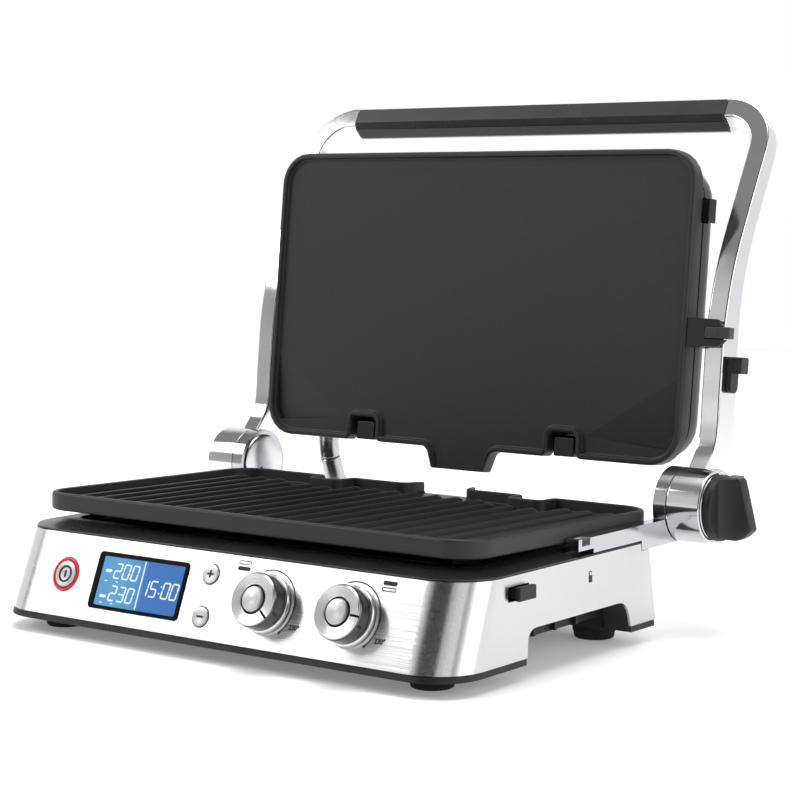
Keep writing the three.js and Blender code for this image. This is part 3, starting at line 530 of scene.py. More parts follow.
def area_light(name, place, target, size, power):
    data = bpy.data.lights.new(name, "AREA")
    data.shape = "RECTANGLE"
    data.size, data.size_y = size
    data.energy = power
    light = bpy.data.objects.new(name, data)
    light.location = place
    light.rotation_euler = (Vector(target) - Vector(place)).to_track_quat("-Z", "Y").to_euler()
    bpy.context.scene.collection.objects.link(light)


# Dark flags that the polished pieces reflect: direction, squash, full and faded half-angles in degrees,
# and strength. A squash below 1 stretches a flag into an upright strip.
FLAGS = [((0.07, -0.87, 0.49), 0.3, 18, 27, 1.0), ((-0.45, -0.80, 0.42), 0.8, 8, 20, 0.3),
         ((-0.89, -0.44, 0.27), 0.3, 4, 9, 0.7), ((0.90, -0.40, 0.28), 0.3, 3, 8, 0.5),
         ((1.0, 0.1, 0.1), 1.0, 5, 14, 0.6), ((0.35, -0.70, 0.62), 1.0, 8, 18, 0.7),
         ((-0.67, -0.74, 0.15), 0.4, 4, 9, 0.5)]
# Brightness of the surround from straight down (0) to straight up (1).
SKY = [(0.0, 1.0), (0.72, 1.0), (0.77, 0.8), (0.84, 0.28), (0.91, 0.3), (0.95, 1.0), (1.0, 1.5)]


def make_world():
    """A white surround with a grey band high up and a few soft dark flags."""
    world = bpy.data.worlds.new("studio")
    world.use_nodes = True
    bpy.context.scene.world = world
    tree = world.node_tree
    nodes, links = tree.nodes, tree.links
    place = nodes.new("ShaderNodeTexCoord")
    split = nodes.new("ShaderNodeSeparateXYZ")
    links.new(place.outputs["Generated"], split.inputs[0])
    ramp = nodes.new("ShaderNodeValToRGB")
    while len(ramp.color_ramp.elements) < len(SKY):
        ramp.color_ramp.elements.new(0.5)
    for element, (position, grey) in zip(ramp.color_ramp.elements, SKY):
        element.position = position
        element.color = (grey, grey, grey, 1)
    height = nodes.new("ShaderNodeMapRange")
    height.inputs["From Min"].default_value = -1.0
    height.inputs["From Max"].default_value = 1.0
    links.new(split.outputs["Z"], height.inputs["Value"])
    links.new(height.outputs["Result"], ramp.inputs["Fac"])
    links.new(ramp.outputs["Color"], nodes["Background"].inputs["Color"])
    light = 1.0
    for direction, squash, full, faded, strength in FLAGS:
        shape = Vector((1, 1, squash))
        flat = maths(tree, "ShaderNodeVectorMath", "MULTIPLY", place.outputs["Generated"], shape)
        unit = maths(tree, "ShaderNodeVectorMath", "NORMALIZE", flat)
        aim = (Vector(direction) * shape).normalized()
        facing = maths(tree, "ShaderNodeVectorMath", "DOT_PRODUCT", unit, aim)
        flag = nodes.new("ShaderNodeMapRange")
        flag.interpolation_type = "SMOOTHSTEP"
        flag.inputs["From Min"].default_value = cos(radians(faded))
        flag.inputs["From Max"].default_value = cos(radians(full))
        flag.inputs["To Min"].default_value = 1.0
        flag.inputs["To Max"].default_value = 1.0 - strength
        links.new(facing, flag.inputs["Value"])
        light = maths(tree, "ShaderNodeMath", "MULTIPLY", light, flag.outputs["Result"])
    links.new(light, nodes["Background"].inputs["Strength"])
    # The camera itself sees plain white behind the floor; the flags only show in reflections.
    plain = nodes.new("ShaderNodeBackground")
    plain.inputs["Color"].default_value = (1, 1, 1, 1)
    ray = nodes.new("ShaderNodeLightPath")
    seen = nodes.new("ShaderNodeMixShader")
    links.new(ray.outputs["Is Camera Ray"], seen.inputs["Fac"])
    links.new(nodes["Background"].outputs["Background"], seen.inputs[1])
    links.new(plain.outputs["Background"], seen.inputs[2])
    links.new(seen.outputs["Shader"], nodes["World Output"].inputs["Surface"])


def make_floor():
    radius, sides = 2.4, 96
    rim = [(radius * cos(2 * pi * i / sides), radius * sin(2 * pi * i / sides), 0) for i in range(sides)]
    floor_mesh = new_mesh(rim, [tuple(range(sides))])
    graph = Graph("pale_floor", (0.93, 0.93, 0.93), 0.7)
    mottle = graph.noise(3.0, 2.0)
    graph.drive(graph.ramp(mottle, [(0.3, (0.92, 0.92, 0.92)), (0.7, (0.94, 0.94, 0.94))]), "Base Color")
    graph.shader.inputs["Emission Color"].default_value = (1, 1, 1, 1)
    graph.shader.inputs["Emission Strength"].default_value = 0.2
    floor_mesh.materials.append(graph.material)
    floor = bpy.data.objects.new("floor", floor_mesh)
    bpy.context.scene.collection.objects.link(floor)


def make_studio():
    bpy.context.scene.view_settings.view_transform = "Standard"
    area_light("key", (-1.85, -1.3, 1.6), (0, 0, 0.12), (1.1, 1.0), 21)
    area_light("fill_right", (1.9, 0.1, 0.8), (0.1, 0, 0.1), (1.2, 1.4), 10)
    area_light("top", (0.0, 0.2, 1.9), (0, 0, 0.1), (1.4, 1.0), 18)
    area_light("back", (-0.6, 1.7, 1.1), (0, 0, 0.15), (1.4, 0.9), 8)
    make_world()
    make_floor()


make_camera()
make_studio()

# ---- plates

SPOUT = 14  # how far a plate's spout stands out behind it


def plate_corners(spout_reach):
    """The removable plate's outline: two notches and a spout in its rear edge."""
    half, depth = PLATE["half"], PLATE["depth"]
    right = [(CLIP_X + 11, depth, 4), (CLIP_X + 10.2, depth - 16, 3), (CLIP_X - 10.2, depth - 16, 3),
             (CLIP_X - 11, depth, 4), (26, depth, 6), (21, depth + spout_reach, 1.5)]
    left = [(-x, y, r) for x, y, r in reversed(right)]
    corner = PLATE["corner"]
    front = [(-half, 0, corner), (half, 0, corner)]
    return [*front, (half, depth, corner), *right, *left, (-half, depth, corner)]


def pan(recess):
    """A plate with its raised rim and a basin as deep as recess; the spout runs out of the basin."""
    thick = PLATE["thick"]
    body = layered(plate_corners(SPOUT), [
        (-thick, 1.6), (-thick + 0.5, 0.5), (-thick + 1.6, 0), (-2.0, 0), (-0.9, 0.25), (-0.25, 0.8),
        (0, 1.5)])
    rim = PLATE["rim"]
    basin = layered(plate_corners(30), [
        (-recess, rim + 1.5), (-recess + 0.4, rim + 0.5), (-recess + 1.4, rim), (-1.0, rim),
        (-0.35, rim - 0.25), (0.0, rim - 0.9), (3, rim - 0.9)])
    return boolean(body, basin)


def rib(x, start, end, foot_z, height):
    """A rib along y with a rounded crest and flared feet, running out flat at both ends."""
    crest = 4.05
    profile = [(-3.5, -0.3), (-3.2, 0.05), (-2.4, 0.5), (-1.75, 2.3), (-1.2, 3.5), (-0.6, 3.95), (0, crest)]
    profile += [(-u, v) for u, v in reversed(profile[:-1])]
    stations = [(0, 0.02), (1.6, 0.35), (3.8, 0.75), (7, 0.97), (11, 1.0)]
    along = [(start + d, s) for d, s in stations] + [(end - d, s) for d, s in reversed(stations)]
    loops = []
    for y, s in along:
        loops.append([(x + u, y, foot_z + (v * height / crest * s if v > 0 else v)) for u, v in profile])
    return rings(loops)


def lower_plate():
    """The ribbed plate; ribs start later at the rounded corners and stop short of the clip notches."""
    recess = 7.5
    ribs = []
    for i in range(-9, 10):
        x = i * 16.1
        start = 12 if abs(x) > 137 else 6
        end = 168 if abs(abs(x) - CLIP_X) < 20 else 180
        ribs.append(rib(x, start, end, -recess, 5))
    return joined(pan(recess), *ribs)


def upper_plate():
    recess = 3.5
    shape = pan(recess)
    # The two drain corners dip a little, each behind a straight crease.
    for sign in (-1, 1):
        crease = [(sign * 160.2, 140), (sign * 96, 180)]
        corner = (sign * 166, 186)
        low = recess + 4.5
        wedge_top = [(x, y, -recess + 0.02) for x, y in crease] + [(*corner, -recess + 0.02)]
        wedge_bottom = [(x, y, -recess - 0.01) for x, y in crease] + [(*corner, -low)]
        tool = rings([wedge_bottom, wedge_top])
        inset = PLATE["rim"] + 1.2
        inner = layered(plate_corners(SPOUT), [(-recess - 3, inset), (0, inset)])
        shape = cut(shape, boolean(tool, inner, "INTERSECT"))
    return shape


piece("lower_grill_plate", lower_plate(), BED, "lower_plate", NONSTICK_GROOVE_SHADED,
      "lower_plate", own_frame=True)
piece("upper_grill_plate", upper_plate(), UPPER_BED, "upper_plate", NONSTICK,
      "upper_plate")

# ---- base

piece("steel_band", refined("steel_wrap", 0.35), ROW, "root", STEEL, "steel_wrap")
piece("base_shell", refined("base_tray", 0.4), ROW, "root", MATTE, "base_tray")
piece("deck", refined("deck_cover", 0.6), ROW, "root", DECK, "deck_cover")
piece("drip_pan", refined("drip_tray", 0.6), ROW, "drip_tray", MATTE, "drip_tray")
piece("cord_sleeve", refined("cord_gland", 0.4), ROW, "root", RUBBER, "cord_gland")

foot_profile = [(0, 1.2), (7.5, 1.2), (8.2, 0.3), (8.9, 0), (11.0, 0), (11.8, 0.5), (12.1, 1.4), (12.4, 3.6),
                (13.0, 4.4), (13.0, 7.7), (12.6, 8.2), (0, 8.2)]
FOOT_X = 139.3
FEET = {"front_left": (-FOOT_X, -2.7), "front_right": (FOOT_X, -2.7),
        "rear_left": (-FOOT_X, 161), "rear_right": (FOOT_X, 161)}
for corner, (x, y) in FEET.items():
    place = DRAWING @ Matrix.Translation((x, y, FLOOR))
    piece(f"rubber_foot_{corner}", lathe(foot_profile, 48), place, "root", RUBBER, f"foot_{corner}")

piece("plate_release_lower", refined("lower_release_button", 0.5), ROW, "lower_release_button", MATTE,
      "lower_release_button")

# ---- head

HOUSING = rectangle(-159.5, 159.5, 3, 188.5, 24)


def head_housing():
    """The lid's black shell, with a fine seam near the plate."""
    back = -36.0
    body = layered(HOUSING, [
        (back, 11), (back + 0.3, 9.2), (back + 1.2, 6.6), (back + 3, 3.9), (back + 6, 1.7), (back + 10, 0.4),
        (back + 14, 0), (-17.8, 0), (-17.6, 0.7), (-16.6, 0.7), (-16.4, 0), (-13.0, 0), (-12.6, 0.2),
        (-12.4, 0.6)])
    inside = layered(HOUSING, [(back + 2.5, 12), (back + 6, 6), (back + 11, 2.8), (-10, 2.8)])
    button = block(154, 166, 150.9, 166.3, -23.8, -14.7)
    conduit_way = block(-135, -119, -5, 13, -34, -14.5)
    pads = [soft_prism(rectangle(x - 7.6, x + 7.6, 0.8, 13, 1.2), -16, -4, 0.8)
            for x in (PLATE_MIDDLE - CLIP_X, PLATE_MIDDLE + CLIP_X)]
    return joined(cut(body, inside, button, conduit_way), *pads)


def head_cover():
    return soft_prism(rectangle(-148.5, 148.5, 14, 177.5, 13), -37.3, -36.3, 0.4, 8)


piece("lid_housing", head_housing(), HEAD, "head", SATIN, "head_housing")
piece("lid_cover", head_cover(), HEAD, "head", STEEL_HEAD, "head_cover")
piece("plate_release_upper", refined("upper_release_button", 0.5), ROW, "upper_release_button", MATTE,
      "upper_release_button")
for side in ("left", "right"):
    piece(f"pivot_cheek_{side}", refined(f"pivot_block_{side}", 0.7), ROW, "head", SATIN,
          f"pivot_block_{side}")
piece("lid_tilt_lever", refined("lid_lever", 0.6), ROW, "lid_lever", GRIP, "lid_lever")
piece("height_slider", refined("height_lock", 0.5), ROW, "height_lock", MATTE, "height_lock")

# ---- arms and handle

# The bend between a leg and the crossbar: its centre's x, and its outer and inner radius.
CORNER_X = 148.6
CORNER_OUT, CORNER_IN = 35.85, 23.2
ARM_DEPTH = 13.5
# The leg's front and rear faces as (y, z) points of the drawing frame, from the hinge upwards.
LEG_FRONT = [(204, 88), (212, 99), (225.6, 117), (229.4, 146), (234.6, 186), (246, 223), (265.3, 260),
             ARM_TOP]
LEG_REAR = [(226, 72), (236, 85), (247.2, 115), (250.2, 146), (253, 186), (262, 222), (279, 256.5),
            (ARM_TOP[0] + ARM_DEPTH * cos(ARM_LEAN), ARM_TOP[1] - ARM_DEPTH * sin(ARM_LEAN))]


def bar_ring(front_inner, front_outer, rear_outer, rear_inner):
    """A four-cornered section with rounded corners, as a closed loop in space."""
    steps = 4
    corners = [Vector(c) for c in (front_inner, front_outer, rear_outer, rear_inner)]
    loop = []
    for i, (corner, radius) in enumerate(zip(corners, (1.3, 1.3, 1.6, 1.6))):
        before = (corners[i - 1] - corner).normalized()
        after = (corners[(i + 1) % 4] - corner).normalized()
        start, end = corner + before * radius, corner + after * radius
        for k in range(steps + 1):
            t = k / steps
            loop.append((1 - t) ** 2 * start + 2 * t * (1 - t) * corner + t * t * end)
    return loop


def arm_bar():
    """The right arm's bar: up the leg, round the corner and along to the grip."""
    to_drawing = DRAWING.inverted() @ HANDLE
    fronts = smooth_line([(0, *p) for p in LEG_FRONT], 10)
    rears = smooth_line([(0, *p) for p in LEG_REAR], 10)
    loops = []
    for front, rear in zip(fronts, rears):
        loops.append(bar_ring((ARM_INNER, front.y, front.z), (ARM_OUTER, front.y, front.z),
                              (ARM_OUTER, rear.y, rear.z), (ARM_INNER, rear.y, rear.z)))
    # Towards the grip the bar's underside grows inwards, more at the rear than at the front.
    steps = 26
    for i in range(1, steps + 1):
        turn = pi / 2 * i / steps
        share = max(0.0, (i / steps - 0.5) / 0.5)
        grown = share * share * (3 - 2 * share)
        back = -ARM_DEPTH - 0.8 * grown
        spots = [(CORNER_IN - 0.4 * grown, 0), (CORNER_OUT, 0), (CORNER_OUT, back),
                 (CORNER_IN - 5.2 * grown, back)]
        ring = [Vector((CORNER_X + r * cos(turn), r * sin(turn), z)) for r, z in spots]
        loops.append(bar_ring(*[to_drawing @ corner for corner in ring]))
    return rings(loops)


def barrel(x0, x1):
    """A polished drum on the hinge line, drawn along its axis, with a fine groove in its outer end."""
    r = HINGE["radius"]
    profile = [(0, x0), (r - 0.8, x0), (r - 0.2, x0 + 0.25), (r, x0 + 0.8), (r, x1 - 1.0),
               (r - 0.3, x1 - 0.3), (r - 1.0, x1), (r - 2.0, x1), (r - 2.3, x1 - 0.5), (r - 2.9, x1 - 0.5),
               (r - 3.2, x1), (0, x1)]
    return lathe(profile, 96)


DRUM_END = 194.0
TO_X = Matrix.Rotation(pi / 2, 4, "Y")
TO_HINGE = Matrix.Translation((0, HINGE["y"], HINGE["z"]))
ON_HINGE = TO_HINGE @ TO_X


def arm(sign):
    """An arm's bar and hinge drum; sign is 1 for the right arm and -1 for the left."""
    bar = arm_bar()
    drum = barrel(ARM_INNER, DRUM_END)
    drum.transform(ON_HINGE)
    whole = joined(bar, drum)
    return whole if sign > 0 else mirrored_x(whole)


for side, sign in (("left", -1), ("right", 1)):
    piece(f"{side}_arm_bar", arm(sign), DRAWING, "arms", CHROME, f"{side}_arm")
    piece(f"hinge_ring_{side}", refined(f"hinge_bracket_{side}", 0.45), ROW, "root", BRACKET_CHROME_PAINTED_DARK,
          f"hinge_bracket_{side}")
    dome = lathe([(0, 160.9), (8, 160.75), (14, 160.95), (18, 161.4), (19.2, 161.9), (19.6, 162.7),
                  (0, 162.7)], 72)
    dome.transform(ON_HINGE)
    screw = lathe([(0, 158), (1.7, 158), (1.7, 162.2), (0, 162.2)], 24)
    screw.transform(Matrix.Translation((0, -4, -4)) @ ON_HINGE)
    cap = cut(dome, screw)
    piece(f"hinge_dome_{side}", cap if sign > 0 else mirrored_x(cap), DRAWING, "root", SATIN_CHROME,
          f"hinge_cap_{side}")


def grip():
    """The handle's grip: flat front, sloping strip below it, rounded back, and a thin seam at each end."""
    section = [(24, 0.9, 0.7), (34.9, 0.9, 1.2), (34.9, -13, 2.0), (31, -18.5, 2.4), (21, -18, 2.4),
               (17.4, -10.5, 2.0), (19.8, -2.2, 1.2)]
    middle = Vector((27, -8.8))
    half = CORNER_X - GAP
    stations = [(-half, 0.7), (-half + 0.5, 0.6), (-half + 0.9, 0)]
    stations += [(-x, inset) for x, inset in reversed(stations)]
    loops = []
    for x, inset in stations:
        loop = []
        for point in outline(section, 0, 5):
            away = point - middle
            spot = middle + away * (1 - inset / away.length)
            loop.append((x, spot.x, spot.y))
        loops.append(loop)
    return rings(loops)


hand_grip = piece("hand_grip", grip(), HANDLE, "arms", GRIP, "handle_grip", own_frame=True)
hand_grip.data.materials.append(GRIP_UNDER)
GRIP_FRONT_EDGE = 23.5  # the flat front's lower edge, along the handle frame's y
for face in hand_grip.data.polygons:
    if face.center.y < GRIP_FRONT_EDGE * MM:
        face.material_index = 1


def lock_knob():
    """The lock knob on the right hinge: a disc with a thumb bar across it."""
    disc = lathe([(0, 194.4), (19.0, 194.4), (19.8, 194.9), (20.0, 195.8), (20.0, 198.2), (19.4, 199.3),
                  (18.4, 199.6), (0, 199.6)], 72)
    disc.transform(TO_X)
    # Sections of the thumb bar from its lower to its upper end: a scooped front and a slanting outer face.
    stations = [(-18.8, 8.6, 0.0), (-18.2, 10.4, 0.5), (-16.4, 13.6, 0.9), (-13.2, 17.0, 1.0),
                (-11.8, 17.6, 1.0), (0, 14.7, 1.0), (12, 11.7, 1.0), (16.4, 10.5, 0.95), (17.8, 9.6, 0.8),
                (18.8, 8.0, 0.2)]
    loops = []
    for z, reach, grow in stations:
        ridge = 199.4 + reach
        scoop = 8.6 * grow
        section = [(198.6, -2 - scoop), (200.4, -1.6 - scoop * 0.72), (203.2, -1.6 - scoop * 0.38),
                   (207.5, -1.4 - scoop * 0.16), (ridge - 2.2, -1.6), (ridge - 0.5, -0.9), (ridge, 0.6),
                   (ridge, 6.6), (ridge - 0.7, 8.4), (ridge - 2.4, 9.2), (206, 10.6), (201, 11.8),
                   (198.6, 12.2)]
        loops.append([(min(x, ridge), y, z) for x, y in section])
    whole = joined(disc, rings(loops))
    whole.transform(TO_HINGE)
    return whole


piece("lid_lock_knob", lock_knob(), DRAWING, "hinge_lock_knob", MATTE, "hinge_lock_knob")

# ---- controls on the front panel

MIDDLE = 25.5  # the controls' middle line, up the panel from its lower edge
PRINT_THICK = 0.08
LCD = {"x0": -94.9, "x1": -23.3, "y0": 8.2, "y1": 42.3}
LENS = {"x0": -90.6, "x1": -26.2, "y0": 10.4, "y1": 39.8}


def bezel():
    frame_shape = soft_prism(rectangle(LCD["x0"], LCD["x1"], LCD["y0"], LCD["y1"], 2.5), -1.3, 0.9, 0.35, 6)
    window = layered(rectangle(LENS["x0"], LENS["x1"], LENS["y0"], LENS["y1"], 1.0),
                     [(-3, -GAP), (0.5, -GAP), (0.95, -GAP - 0.5), (3, -GAP - 0.5)], 4)
    return boolean(frame_shape, window)


piece("display_frame", bezel(), PANEL, "root", GLOSS, "lcd_bezel")
blue_left = (PANEL @ Vector((LENS["x0"], 0, 0))).x
blue_width = (LENS["x1"] - LENS["x0"]) * MM
BLUES = [(0.0, (0.11, 0.34, 0.62)), (0.25, (0.12, 0.36, 0.64)), (0.52, (0.08, 0.27, 0.58)),
         (0.56, (0.05, 0.18, 0.5)), (1.0, (0.045, 0.165, 0.48))]
DISPLAY = glow("display_blue", BLUES, blue_width, blue_left)
LIT = glow("display_white", [(0.0, (0.82, 0.95, 0.97)), (1.0, (0.8, 0.93, 0.97))], blue_width, blue_left)
lens = soft_prism(rectangle(LENS["x0"], LENS["x1"], LENS["y0"], LENS["y1"], 0.8), -1.2, 0.3, 0.15, 4)
piece("display_window", lens, PANEL, "root", DISPLAY, "lcd_lens")

# Seven-segment figures: each segment is a slim slab in a cell one unit wide and two units high.
SEGMENTS = {"a": (0, 2, 1, 2), "b": (1, 1, 1, 2), "c": (1, 0, 1, 1), "d": (0, 0, 1, 0), "e": (0, 0, 0, 1),
            "f": (0, 1, 0, 2), "g": (0, 1, 1, 1)}
DIGITS = {"0": "abcdef", "1": "bc", "2": "abged", "3": "abgcd", "5": "afgcd"}


def stroke(x0, y0, x1, y1, width, z0, z1, lean=0.0):
    """A straight slab between two points with pointed-off ends."""
    a, b = Vector((x0 + lean * y0, y0)), Vector((x1 + lean * y1, y1))
    along = (b - a).normalized()
    side = Vector((-along.y, along.x)) * width / 2
    a, b = a + along * width * 0.32, b - along * width * 0.32
    tip, slope, half = along * width * 0.25, along * width * 0.1, side * 0.9
    loop = [a - tip, a - half + slope, b - half - slope, b + tip, b + half - slope, a + half + slope]
    return rings([[(p.x, p.y, z) for p in loop] for z in (z0, z1)])


GLASS_Z = (0.2, 0.42)  # the lit marks' height range, just through the lens


def figures(text, x, y, width, height, gap, weight):
    shapes = []
    for letter in text:
        if letter == ":":
            for share in (0.28, 0.72):
                spot = x + 0.12 * height * share * 2
                level = y + height * share
                shapes.append(stroke(spot - 0.1, level, spot + weight + 0.1, level, weight, *GLASS_Z))
            x += weight + gap
            continue
        for segment in DIGITS[letter]:
            u0, v0, u1, v1 = SEGMENTS[segment]
            bar = stroke(u0 * width, v0 * height / 2, u1 * width, v1 * height / 2, weight, *GLASS_Z, 0.12)
            bar.transform(Matrix.Translation((x, y, 0)))
            shapes.append(bar)
        x += width + gap
    return shapes


def display_marks():
    """Two temperatures, a time, the line between them and a few short bars."""
    marks = figures("200", -80.2, 27.4, 4.6, 8.6, 2.3, 1.05)
    marks += figures("230", -80.2, 13.9, 4.6, 8.6, 2.3, 1.05)
    marks += figures("15:00", -56.2, 19.6, 4.7, 9.2, 2.0, 1.05)
    marks.append(stroke(-57.2, 10.6, -57.2, 39.6, 0.95, *GLASS_Z))
    for y in (31.3, 15.9):
        marks.append(stroke(-87.6, y, -82.0, y, 2.0, *GLASS_Z))
    for y in (25.2, 12.1):
        for x0, x1 in ((-86.5, -84.0), (-77.5, -75.5)):
            marks.append(stroke(x0, y, x1, y, 0.7, *GLASS_Z))
    return joined(*marks)


piece("display_figures", display_marks(), PANEL, "root", LIT)

DIAL_X = {"left": 39.5, "right": 99}
POINTER = {"left": -38, "right": -4}  # degrees
NOTCH_FLOOR = 12.5
FLANGE = 3.4  # height of the knob's foot ring
knob_profile = [(0, 0.6), (16.4, 0.6), (16.9, 1.0), (17.0, 1.8), (16.9, 2.8), (16.5, 3.3), (15.9, 3.5),
                (15.75, 4.2), (15.7, 11.2), (15.55, 12.2), (15.1, 12.9), (14.2, 13.5), (9.0, 13.1),
                (8.5, 12.8), (8.2, 12.2), (8.1, 6.2), (0, 6.2)]
cap_profile = [(0, 8.4), (7.2, 8.4), (7.35, 12.9), (7.15, 13.5), (6.7, 13.8), (6.0, 13.9), (3, 13.95),
               (0, 13.95)]

for side, x in DIAL_X.items():
    spot = PANEL @ Matrix.Translation((x, MIDDLE, 0))
    notch = block(9.2, 15.2, -0.7, 0.7, NOTCH_FLOOR, 15)
    notch.transform(Matrix.Rotation(radians(POINTER[side]), 4, "Z"))
    knob = piece(f"dial_{side}", cut(lathe(knob_profile, 96), notch), spot, f"knob_{side}", KNOB_SIDE_PAINTED_DARK,
                 f"knob_{side}", own_frame=True)
    knob.data.materials.append(FACED)
    knob.data.materials.append(GLOSS)
    for face in knob.data.polygons:
        faces_out = face.normal.z > 0.8
        # Painted shade: the pointer notch's floor is gloss black for the shade in the notch.
        if faces_out and abs(face.center.z - NOTCH_FLOOR * MM) < 0.05 * MM:
            face.material_index = 2
        elif faces_out or face.center.z < FLANGE * MM:
            face.material_index = 1
    piece(f"dial_button_{side}", lathe(cap_profile, 72), spot, f"knob_button_{side}", FACED_CAP,
          f"knob_button_{side}", own_frame=True)


def printed(corners, steps):
    """A printed patch: an outline as thick as the print."""
    return layered(corners, [(0, 0), (PRINT_THICK, 0)], steps)


def printed_arc(radius, width, start, end, steps=40):
    """A printed arc between two angles in degrees."""
    r0, r1 = radius - width / 2, radius + width / 2
    section = ((r0, 0), (r1, 0), (r1, PRINT_THICK), (r0, PRINT_THICK))
    loops = []
    for i in range(steps + 1):
        a = radians(start + (end - start) * i / steps)
        loops.append([(r * cos(a), r * sin(a), z) for r, z in section])
    return rings(loops)


def printed_text(text, size, weight):
    curve = bpy.data.curves.new("figures", "FONT")
    curve.body = text
    curve.size = size
    curve.offset = weight
    curve.extrude = PRINT_THICK / 2
    curve.resolution_u = 4
    holder = bpy.data.objects.new("figures", curve)
    bpy.context.scene.collection.objects.link(holder)
    bpy.context.view_layer.update()
    mesh = evaluated_mesh(holder)
    bpy.data.objects.remove(holder)
    mesh.transform(Matrix.Translation((0, 0, PRINT_THICK / 2)))
    return mesh


def dial_marks():
    """The scale round a dial: an arc, two dots on it and one temperature."""
    radius, start = 19.6, -48
    marks = [printed_arc(radius, 0.75, start, 112)]
    for angle in (0, start):
        a = radians(angle)
        dot = lathe([(0, 0.0), (0.85, 0.0), (0.85, 0.1), (0, 0.1)], 20)
        dot.transform(Matrix.Translation((radius * cos(a), radius * sin(a), 0)))
        marks.append(dot)
    figure = printed_text("230°", 3.9, 0.16)
    figure.transform(Matrix.Translation((19.0, -12.0, 0)))
    marks.append(figure)
    return marks


def plate_icon(x, y, filled_upper):
    """Two short bars, one over the other, one of them filled: which plate a dial heats."""
    marks = []
    for dy, filled in ((1.9, filled_upper), (-1.5, not filled_upper)):
        bar = rectangle(x - 4.7, x + 4.7, y + dy - 1.2, y + dy + 1.2, 1.1)
        shape = printed(bar, 4)
        if not filled:
            shape = cut(shape, layered(bar, [(-1, 0.6), (1, 0.6)], 4))
        marks.append(shape)
    return marks


def panel_marks():
    marks = []
    for x in DIAL_X.values():
        for mark in dial_marks():
            mark.transform(Matrix.Translation((x, MIDDLE, 0)))
            marks.append(mark)
    marks += plate_icon(17, 45.1, False)
    marks += plate_icon(120, 44.6, True)
    return joined(*marks)


piece("panel_print", panel_marks(), PANEL, "root", PRINT)

# Power button: a red ring round a steel button with a printed ring and bar.
ring_profile = [(8.5, -1.3), (10.4, -1.3), (10.4, 0.1), (10.2, 0.5), (9.6, 0.7), (8.9, 0.5), (8.5, 0.1)]
power = PANEL @ Matrix.Translation((-119, MIDDLE, 0))
piece("power_ring_trim", lathe(ring_profile, 72), power, "root", RED, "power_ring")
power_profile = [(0, -5), (8.0, -5), (8.2, -4.6), (8.2, 0.3), (7.9, 0.75), (7.3, 0.95), (4, 0.8), (0, 0.75)]
piece("power_key", lathe(power_profile, 72), power, "power_button", FACED_CAP,
      "power_button", own_frame=True)
symbol_ring = lathe([(4.0, 0.6), (5.25, 0.6), (5.25, 1.05), (4.0, 1.05)], 48)
symbol_bar = stroke(0, -2.6, 0, 2.6, 1.25, 0.6, 1.05)
piece("power_symbol", joined(symbol_ring, symbol_bar), power, "power_button", PRINT)

key_profile = [(0, -5), (5.6, -5), (5.8, -4.6), (5.8, 0.4), (5.5, 0.85), (5.0, 1.0), (2.5, 0.9), (0, 0.85)]
for name, y, upright in (("plus", 37.8, True), ("minus", 12.8, False)):
    spot = PANEL @ Matrix.Translation((-6, y, 0))
    piece(f"{name}_key", lathe(key_profile, 56), spot, f"{name}_button", FACED_CAP,
          f"{name}_button", own_frame=True)
    sign_marks = [stroke(-2.6, 0, 2.6, 0, 1.25, 0.7, 1.05)]
    if upright:
        sign_marks.append(stroke(0, -2.6, 0, 2.6, 1.25, 0.7, 1.05))
    piece(f"{name}_sign", joined(*sign_marks), spot, f"{name}_button", PRINT)
    # Painted shade: a black ring fills the gap round the key, standing in for the shade in that gap.
    gap_shade_ring = lathe([(5.85, -1.0), (6.3, -1.0), (6.3, 0.12), (5.85, 0.12)], 56)
    piece(f"{name}_rim", gap_shade_ring, spot, "root", PRINT)


def padlock():
    """A printed padlock with its shackle open on the right."""
    body = printed(rectangle(-1.4, 1.4, -2.2, 1.0, 0.4), 3)
    shackle = printed_arc(1.0, 0.5, 20, 180, 16)
    shackle.transform(Matrix.Translation((0, 1.7, 0)))
    post = block(-1.25, -0.75, 0.9, 1.8, 0, PRINT_THICK)
    mark = joined(body, shackle, post)
    mark.transform(Matrix.Scale(1.3, 4))
    return mark


# The padlock's place on the band's right side, which leans in from its lower to its upper edge.
SIDE_BOTTOM_X, SIDE_TOP_X = 172.6, 171.4
LOCK_Y, LOCK_Z = 104.3, 49.9
lean = atan2(SIDE_BOTTOM_X - SIDE_TOP_X, BAND_HIGH - BAND_LOW)
side_x = SIDE_BOTTOM_X - (LOCK_Z - BAND_LOW) * tan(lean)
SIDE_FACE = DRAWING @ Matrix(((0, -sin(lean), cos(lean), side_x), (1, 0, 0, LOCK_Y),
                              (0, cos(lean), sin(lean), LOCK_Z), (0, 0, 0, 1)))
piece("lock_mark", padlock(), SIDE_FACE, "root", PRINT)

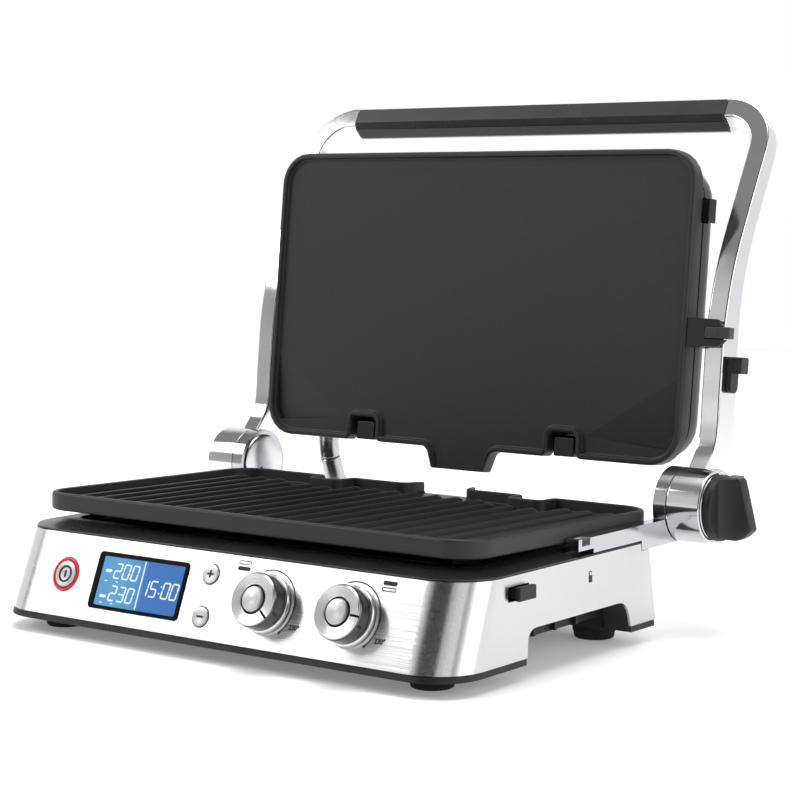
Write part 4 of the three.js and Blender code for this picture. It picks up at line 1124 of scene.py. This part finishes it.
# ---- metal conduit

HOSE_X = -127
HOSE_RADIUS = 7.0
HOSE_SIDES = 28


def conduit(points):
    """A finely ringed metal hose along a curve of (y, z) points."""
    path = smooth_line([(HOSE_X, *p) for p in points], 14)
    step, ring = 0.6, 4  # distance between sections, and sections from one ring to the next
    spaced = [path[0]]
    for point in path[1:]:
        while (point - spaced[-1]).length > step:
            spaced.append(spaced[-1] + (point - spaced[-1]).normalized() * step)
    sections = []
    for i in range(len(spaced)):
        r = HOSE_RADIUS - 0.03 * (0.5 + 0.5 * cos(2 * pi * i / ring))
        angles = [2 * pi * k / HOSE_SIDES for k in range(HOSE_SIDES)]
        sections.append([(r * cos(a), r * sin(a)) for a in angles])
    return swept(spaced, sections)


def hose(name, points, node):
    """A hose along a curve of its own (y, z) points, standing in for a CAD node."""
    mesh = conduit(points)
    mesh.transform(DRAWING)
    mesh.name = name
    mesh.materials.append(HOSE)
    mesh.shade_smooth()
    obj = bpy.data.objects.new(name, mesh)
    bpy.context.scene.collection.objects.link(obj)
    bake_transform(obj)
    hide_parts(node)


HOSE = polished("hose_metal", (0.5, 0.5, 0.52), (0.2, 0.3))
lower_path = [(166, 30), (188, 29), (220, 25), (244, 36), (250, 56), (244.5, 72), (240.5, 83.6)]
upper_path = [(240.4, 84), (239.2, 91), (239.2, 101), (240.6, 109)]
hose("conduit_hose_lower", lower_path, "conduit_lower")
hose("conduit_hose_upper", upper_path, "conduit_upper")

# ---- inner pieces keep their CAD shape

KEPT = {"hinge_pin_left": BARE, "hinge_pin_right": BARE, "pivot_pin_left": BARE, "pivot_pin_right": BARE,
        "handle_core": BARE, "lower_reflector": BARE, "upper_reflector": BARE, "lower_sensor": BARE,
        "upper_sensor": BARE, "lower_element": SHEATH, "upper_element": SHEATH, "lcd_module": BOARD,
        "control_board": BOARD, "power_board": BOARD, "encoder_left": MATTE, "encoder_right": MATTE}
for node, material in KEPT.items():
    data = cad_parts[node].data
    data.materials.clear()
    data.materials.append(material)
